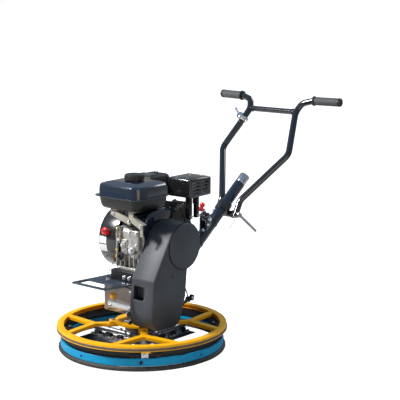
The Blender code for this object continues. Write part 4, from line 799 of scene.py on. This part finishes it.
def starter_grip_surface():
    """The starter's grip, the guide it rests on and the rope between them."""
    centre = Vector((-158.5, CRANK.y + 52, CRANK.z + 70))
    pull, across = Vector((0, 0.6, 0.8)), Vector((0, -0.8, 0.6))
    rings = []
    for step in range(13):
        share = -1 + step / 6
        swell = math.sqrt(max(0.0, 1 - share ** 6)) * 6 + 0.3
        middle = centre + pull * (8 - 2.2 * share * share) + across * 17.2 * share
        rings.append([middle + (pull * cosine + RIGHT * sine) * swell for cosine, sine in circle(20)])
    piece("starter_grip_fine", PLASTIC, (skin, rings), (turned, [(4.2, -2), (3.4, 2), (4.6, 6)], centre, pull, 16),
          angle=60)
    piece("starter_rope_guide", PLASTIC,
          (turned, [(8.5, 0), (8.5, 6), (7, 7.5), (4.5, 7.5)], centre - pull * 10.5, pull, 24))
    rope = piece("starter_rope", PLASTIC, (tube, [centre + pull * (step - 12) for step in range(15)], 1.6, 10),
                 ride=False)
    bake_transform(rope)


def cylinder_fittings():
    """The spark plug with its cap and lead, and the bolts of the rocker cover."""
    refined("cylinder", 0.5)
    refined("cylinder_head", 0.6)
    piece("spark_plug_lead", PLASTIC, (rod, (20, 215, 420), (28, 242, 398), 8.5, 20, 2),
          (rod, (28, 242, 398), (30, 249, 392), 6.5, 20, 1),
          (wire, 3.2, 10, (30, 248, 393), (10, 256, 380), (-36, 232, 366), (-80, 170, 362), (-100, 156, 364)))
    lean = Matrix.Rotation(math.radians(-65), 4, "X")
    centre = Vector((-5, CRANK.y, CRANK.z))
    piece("rocker_cover_bolts", ZINC,
          (bolts, lean @ UP, 6, *[centre + lean @ Vector((x, y, 203.7)) for x in (-28, 28) for y in (-32, 32)]))


def carburettor_fittings():
    """The carburettor's screws, the fuel hose and the choke's lever."""
    refined("carburettor", 1.2)
    piece("carburettor_screws", BRASS, (bolt, (-82, 173, 472), DOWN, 6), (block, (-106, 154, 505), (-100, 164, 520)),
          (rod, (-90, 196, 512), (-90, 206, 512), 4, 14, 0.6))
    piece("fuel_hose", RUBBER, (wire, 4, 14, (-78, 60, 515), (-84, 96, 500), (-88, 130, 494), (-86, 152, 506)))
    piece("choke_lever", SATIN_BLACK, (rod, (-104, 166, 510), (-118, 166, 510), 3.5, 14),
          (block, (-121, 150, 507), (-117, 172, 513), 1.5), slot="black_plastic")


# --- handle -----------------------------------------------------------------------------------------

def throttle_place():
    """The throttle's spot on the left arm, the arm's direction there and the lever's pivot axis square to it."""
    low, high = mirrored(BAR_PATH[2], -1), mirrored(BAR_PATH[3], -1)
    direction = (high - low).normalized()
    return low.lerp(high, THROTTLE_SHARE), direction, -direction.cross(RIGHT).normalized()


def clamp_pivot(x=0):
    return on_tube(CLAMP_ALONG, -CLAMP_DROP, x)


def handlebar_surface():
    """The bent bar with its feet in the clamp, and its crossbar with welds."""
    steps = []
    for side in SIDES:
        corners = [(mirrored(spot, side), bend) for spot, bend in zip(BAR_PATH, BAR_BENDS)]
        steps += [(tube, rounded(corners, closed=False, steps=10), BAR_R, 28),
                  (rod, clamp_pivot(side * 29.4), clamp_pivot(side * 35), 15.8, 40, 0.6)]
    bend = BAR_PATH[3]
    piece("handlebar_fine", BAR_BLACK, *steps, (rod, mirrored(bend, -1), bend, CROSSBAR_R, 28), angle=50)
    weld = [(11, 9.5), (13.5, 10.5), (14, 12.5), (12.8, 14.5), (11, 15)]
    piece("handlebar_welds", BAR_BLACK, *[(hoop, weld, mirrored(bend, side), LEFT * side, 36) for side in SIDES],
          body="handlebar", angle=70)


def grip_surface(name, side):
    """The grip's fine diamond lattice, its flange and its end cap with a breather hole."""
    start, end = mirrored(GRIP_START, side), mirrored(GRIP_END, side)
    place = Matrix.Translation(start) @ turn_to(end - start)
    steps_round, steps_along = 54, 76
    low, high = 8, (end - start).length - 11
    rings = []
    for step in range(steps_along + 1):
        distance = low + (high - low) * step / steps_along
        fade = min(1.0, 12.0 * min(step, steps_along - step) / steps_along)
        ring = []
        for index in range(steps_round):
            turn = math.tau * index / steps_round
            lattice = abs(math.sin(5 * turn + 0.3 * distance) * math.sin(5 * turn - 0.3 * distance))
            ring.append(place @ polar(15.6 + 0.9 * fade * math.sqrt(lattice), turn, distance))
        rings.append(ring)
    piece(f"{name}_fine", GRIP, (skin, rings), angle=60)
    piece(f"{name}_ends", PLASTIC, (turned, [(13.3, 0), (17.8, 0.4), (19.2, 1.8), (19.7, 4), (19.2, 6.4), (17, 8),
                                             (16.4, 10), (13.3, 10)], start, end - start),
          (turned,
           [(14, -12.5), (16.4, -11.8), (17, -9), (16.6, -3), (14.5, 0), (6, -0.4), (3.4, -1), (3.2, -3), (0, -3)],
           end, end - start), body="handlebar", slot="rubber", angle=40)


def tube_surfaces():
    """The main tube, its bracket and clamp, and the bright adjuster at its end."""
    refined("handle_base_tube", 0.6)
    refined("handle_tube", 0.6)
    refined("handle_bracket", 1.2)
    refined("handle_clamp", 1.2)
    length = 44
    piece("pitch_knob_fine", ZINC,
          (turned,
           [(0, 0), (20.8, 0), (20.8, 3), (19.8, 4.5), (20.5, 6), (20.5, length - 12), (19.8, length - 11.2),
            (19.8, length - 10), (20.5, length - 9.2), (20.5, length - 1.2), (19.6, length), (16, length),
            (15.2, length - 1), (15, length - 18), (0, length - 18)],
           on_tube(UPPER_TUBE_LENGTH + 0.3), ALONG), slot="chrome", angle=40)
    piece("pitch_screw_end", STEEL,
          (rod, on_tube(UPPER_TUBE_LENGTH + 30), on_tube(UPPER_TUBE_LENGTH + 39.5), 9, 20, 1), body="pitch_knob")


def hinge_fittings():
    """The fold hinge's pin and nuts, the bolts of the bracket, and the small wheel that the pitch cable runs on."""
    pin = on_tube(0, HINGE_RISE)
    piece("fold_hinge_pin", CHROME, (rod, pin + LEFT * 18.5, pin + RIGHT * 18.5, 4.1, 16),
          *[(bolt, pin + RIGHT * side * 18.1, RIGHT * side, 7.5) for side in SIDES],
          (bolt, on_tube(-20, 30, 18.1), RIGHT, 5),
          (bolts, ACROSS, 6, on_tube(-46, 24, 10), on_tube(-58, 22.5, -4), on_tube(-72, 22.2, 6)))
    piece("fold_hinge_foot", SATIN_BLACK,
          (block, (-80, -10, 18), (-40, 14, 24), 1, 2, frame_at(TUBE_SEAM, ALONG, RIGHT, ACROSS)))
    piece("handle_bracket_bolts", ZINC, *[step for side in SIDES for step in (
        (bolts, BACK, 6, (side * 32.5, 64.3, 170), (side * 32.5, 64.3, 222)),
        (bolts, RIGHT * side, 8, (side * 27.7, 150, 205), (side * 27.7, 192, 250)))])
    piece("pitch_cable_wheel", SATIN_BLACK,
          (hoop, [(5, 0), (12, 0), (12, 1.5), (9.8, 3), (9.8, 5), (12, 6.5), (12, 8), (5, 8)],
           YOKE_EYE + Vector((9, 5, 8)), RIGHT, 36), body="pitch_yoke", slot="black_plastic")
    piece("pitch_cable_wheel_pin", ZINC,
          (turned, [(4.8, 0), (4.8, 12), (6, 12), (6, 15), (0, 15.5)], YOKE_EYE + Vector((4, 5, 8)), RIGHT, 24),
          body="pitch_yoke")


def clamp_fittings():
    """The clamp's washers and wire hook, and its T lever on the cross bolt."""
    piece("clamp_washers", ZINC, *[(hoop, [(6.2, 0), (13.5, 0), (13.5, 2), (12, 2.8), (6.2, 2.8)],
                                    clamp_pivot(side * 35.2), RIGHT * side, 32) for side in SIDES], body="handlebar")
    hook = [clamp_pivot(42) + Vector((0, y, z)) for y, z in ((0, -10), (-4, -22), (-12, -32), (-26, -40), (-40, -46))]
    piece("clamp_wire_hook", STEEL, (wire, 1.4, 10, *hook), (washer, 7.5, 10, 2.5, clamp_pivot(40), RIGHT, 28),
          body="handlebar")
    pivot, reach = clamp_pivot(63.5), Vector((0, 103, -79)).normalized()
    piece("clamp_lever_fine", STEEL, (rod, clamp_pivot(38), clamp_pivot(64), 5, 20),
          (rod, clamp_pivot(56), clamp_pivot(69), 9.4, 28, 1.2), (rod, clamp_pivot(-66), clamp_pivot(-38), 5, 20),
          (cap, 8.5, 7.2, 6.5, 8, clamp_pivot(-58), LEFT, 6),
          (rod, pivot - reach * 13.8, pivot + reach * 129.5, 5.5, 24, 1.2), slot="chrome", angle=40)


def throttle_fittings():
    """The throttle's clamp round the left arm, and the lever with its ball end."""
    spot, direction, pivot_axis = throttle_place()
    side = direction.cross(pivot_axis)
    band = [(13, 0), (17.2, 0), (17.6, 1), (17.6, 4.5), (17.2, 5.5), (13, 5.5)]
    piece("throttle_clamp", CHROME, *[(hoop, band, spot + direction * shift, direction, 40) for shift in (-8.5, 3)],
          (block, (14, -8.5, -4), (24, 8.5, 4), 1, 2, frame_at(spot, side, direction, pivot_axis)),
          (bolt, spot + side * 19 + pivot_axis * 4, pivot_axis, 5),
          (turned, [(9, 0), (12.5, 4), (14, 21.5), (0, 21.5)], spot, pivot_axis, 32), body="handlebar")
    seat = spot + pivot_axis * 22
    reach, root = (-side * 0.9 + direction * 0.45).normalized(), seat + pivot_axis * 7
    piece("throttle_lever_fine", CHROME,
          (turned, [(15, 0), (15, 3), (14, 4.5), (14, 7.5), (11.8, 10), (6, 11), (0, 11.2)], seat, pivot_axis, 36),
          (rod, seat + pivot_axis * 5, root + reach * 36, 3.4, 18),
          (turned, [(0, -6), (3.6, -5), (5.8, -2), (5.8, 2), (3.6, 5), (0, 6)], root + reach * 40, reach, 20),
          angle=40)


def fold_lock_surface():
    """The red double knob on the lock's plunger."""
    axis = ALONG * 0.207 + ACROSS * 0.978

    def along_lock(distance):
        return on_tube(0, HINGE_RISE) + axis * distance

    steps = [(rod, along_lock(17.8), along_lock(56), 3.7, 18)]
    for centre, radius in ((along_lock(58) + ALONG * 4, 10.3), (along_lock(52) - ALONG * 11, 9.3)):
        ball = [(radius * math.sin(math.pi * step / 14), -radius * math.cos(math.pi * step / 14))
                for step in range(1, 14)]
        steps.append((turned, [(0, -radius), *ball, (0, radius)], centre, ACROSS, 28))
    piece("fold_lock_knob_fine", RED, *steps, angle=60)
    piece("fold_lock_collar", CHROME,
          (hoop, [(5, 0), (7.8, 0), (8.2, 1), (8.2, 4.5), (5, 4.5)], along_lock(34.2), axis, 24))


def stop_switch_surface():
    """The red stop switch with its grip bar, in a dark bezel."""
    angle = math.radians(17)
    outward = Vector((0, -math.cos(angle), math.sin(angle)))
    centre = Vector((-113, CRANK.y, CRANK.z)) + outward * BLOWER_R
    piece("stop_switch_fine", RED,
          (turned, [(14, 0.6), (14.3, 4), (13.2, 14), (12, 16.5), (10, 17.8), (0, 18)], centre, outward, 36),
          (block, (-11.8, -3, 14), (11.8, 3, 21.8), 1.2, 3, Matrix.Translation(centre) @ turn_to(outward)), angle=40)
    piece("stop_switch_bezel", SATIN_BLACK,
          (hoop, [(18.5, -2), (19.5, 0), (19, 1.2), (14.8, 1.2), (14.8, -2)], centre, outward, 36),
          slot="black_plastic")


def cable_surfaces():
    """The three held cables and their ties. Two cables cross a joint, so they are baked in place and ride on no body.
    """
    spot, direction, pivot_axis = throttle_place()
    behind = -pivot_axis * 16.5
    piece("throttle_cable_upper_fine", PLASTIC,
          (wire, CABLE_R, 12, spot - direction * 16 + behind, Vector((-162, 664, 641)) + behind * 1.15,
           Vector((-103, 589, 555.5)) + behind, Vector((-54, 524, 478)) + behind * 1.05,
           Vector((-44.5, 505, 440)) + behind * 1.1, (-42, 501, 408)))
    under = -(TUBE_R + 3.2)
    cable = piece("throttle_cable_lower_fine", PLASTIC, (
        wire, CABLE_R, 12, (-41.5, 497.5, 399), (-32, 478, 390.5), on_tube(62, under - 8, -18),
        on_tube(30, under, -6), on_tube(-60, under, -4), on_tube(-130, under, -6),
        on_tube(-165, under + 4, -32), (-62, 247, 330), (-92, 236, 400), (-100, 222, 470),
        (-90, 199, 512)), ride=False)
    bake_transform(cable)
    eye, top = YOKE_EYE + Vector((0, -2, 11.8)), Vector((0, 223, 220))
    cable = piece("pitch_cable_fine", PLASTIC, (wire, CABLE_R, 12, eye, (0, 247.5, 155), (0, 232, 185), top),
                  ride=False)
    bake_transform(cable)
    piece("cable_ties", PLASTIC,
          *[(washer, TUBE_R, TUBE_R + 1.2, 4.5, on_tube(distance), ALONG, 40) for distance in (-95, -170, 12)])


# --- stage ------------------------------------------------------------------------------------------

FLOOR_REACH, FLOOR_DROP = 9, 0.0005
SKY_STRENGTH = 0.46
WHITE = (1, 1, 1, 1)


def build_floor():
    """A pale floor that the camera sees as white."""
    mesh = bpy.data.meshes.new("floor")
    corners = [(x * FLOOR_REACH, y * FLOOR_REACH, -FLOOR_DROP) for x, y in ((-1, -1), (1, -1), (1, 1), (-1, 1))]
    mesh.from_pydata(corners, [], [(0, 1, 2, 3)])
    floor = bpy.data.objects.new("floor", mesh)
    bpy.context.scene.collection.objects.link(floor)
    pale = finish_of("pale_floor", (0.62, 0.61, 0.60), 0.85, mottle=0.01)
    shader = pale.node_tree.nodes["Principled BSDF"]
    shader.inputs["Emission Color"].default_value = WHITE
    seen = add_node(pale.node_tree, "ShaderNodeLightPath")
    link(pale.node_tree, (seen, "Is Camera Ray", shader, "Emission Strength"))
    mesh.materials.append(pale)


def build_world():
    """A dim sky that lights the object, and a white backdrop for the camera."""
    world = bpy.data.worlds.new("studio")
    bpy.context.scene.world = world
    world.use_nodes = True
    tree = world.node_tree
    sky = tree.nodes["Background"]
    sky.inputs["Strength"].default_value = SKY_STRENGTH
    ramp = add_node(tree, "ShaderNodeValToRGB")
    set_ramp(ramp, (0.05, (0.62, 0.56, 0.48, 1.0)), (0.9, (0.42, 0.66, 1.0, 1.0)))
    split, choose = add_node(tree, "ShaderNodeSeparateXYZ"), add_node(tree, "ShaderNodeMixShader")
    link(tree, (add_node(tree, "ShaderNodeTexCoord"), "Generated", split, "Vector"), (split, "Z", ramp, "Fac"),
         (ramp, "Color", sky, "Color"), (add_node(tree, "ShaderNodeLightPath"), "Is Camera Ray", choose, 0),
         (sky, "Background", choose, 1), (add_node(tree, "ShaderNodeBackground", Color=WHITE), "Background", choose, 2),
         (choose, "Shader", tree.nodes["World Output"], "Surface"))


def build_lamps():
    """One strong soft key lamp, with a rim and a fill lamp."""
    for name, spot, size, energy, colour in (
            ("key", (-1.9, -2.2, 3.2), 0.8, 250.0, (1.0, 0.985, 0.96)),
            ("rim", (0.4, 2.9, 2.4), 1.6, 30.0, (0.92, 0.96, 1.0)),
            ("fill", (3.2, -1.2, 0.9), 2.2, 15.0, (1.0, 0.86, 0.70))):
        lamp = bpy.data.lights.new(name, "AREA")
        lamp.shape, lamp.size, lamp.energy, lamp.color = "DISK", size, energy, colour
        light = bpy.data.objects.new(name, lamp)
        bpy.context.scene.collection.objects.link(light)
        light.location = AXIS + Vector(spot)
        aim = AXIS + Vector((0, 0.15, 0.35)) - light.location
        light.rotation_euler = aim.to_track_quat("-Z", "Y").to_euler()
    bpy.context.scene.view_settings.view_transform = "Standard"


def build_camera():
    """The camera at the viewing angle."""
    camera = bpy.data.objects.new("camera", bpy.data.cameras.new("camera"))
    bpy.context.scene.collection.objects.link(camera)
    camera.data.lens = 109.6
    camera.location = AXIS + Vector((2.874, -3.118, 1.327))
    camera.rotation_euler = (math.radians(79.468), 0.0, math.radians(39.842))
    bpy.context.scene.camera = camera


for build in (build_camera, build_floor, build_world, build_lamps, dress_nodes, edge_ring_surface, bumper_surface,
              guard_ring_surface, ring_fasteners, blade_fittings, rotor_fittings, gearbox_fittings, deck_fittings,
              belt_guard_fittings, fuel_tank_surface, fuel_cap_surface, air_cleaner_surface, muffler_fittings,
              crankcase_fittings, governor_linkage, tank_brackets, blower_fittings, starter_grip_surface,
              cylinder_fittings, carburettor_fittings, handlebar_surface):
    build()
grip_surface("grip_left", -1)
grip_surface("grip_right", 1)
for build in (tube_surfaces, hinge_fittings, clamp_fittings, throttle_fittings, fold_lock_surface,
              stop_switch_surface, cable_surfaces):
    build()
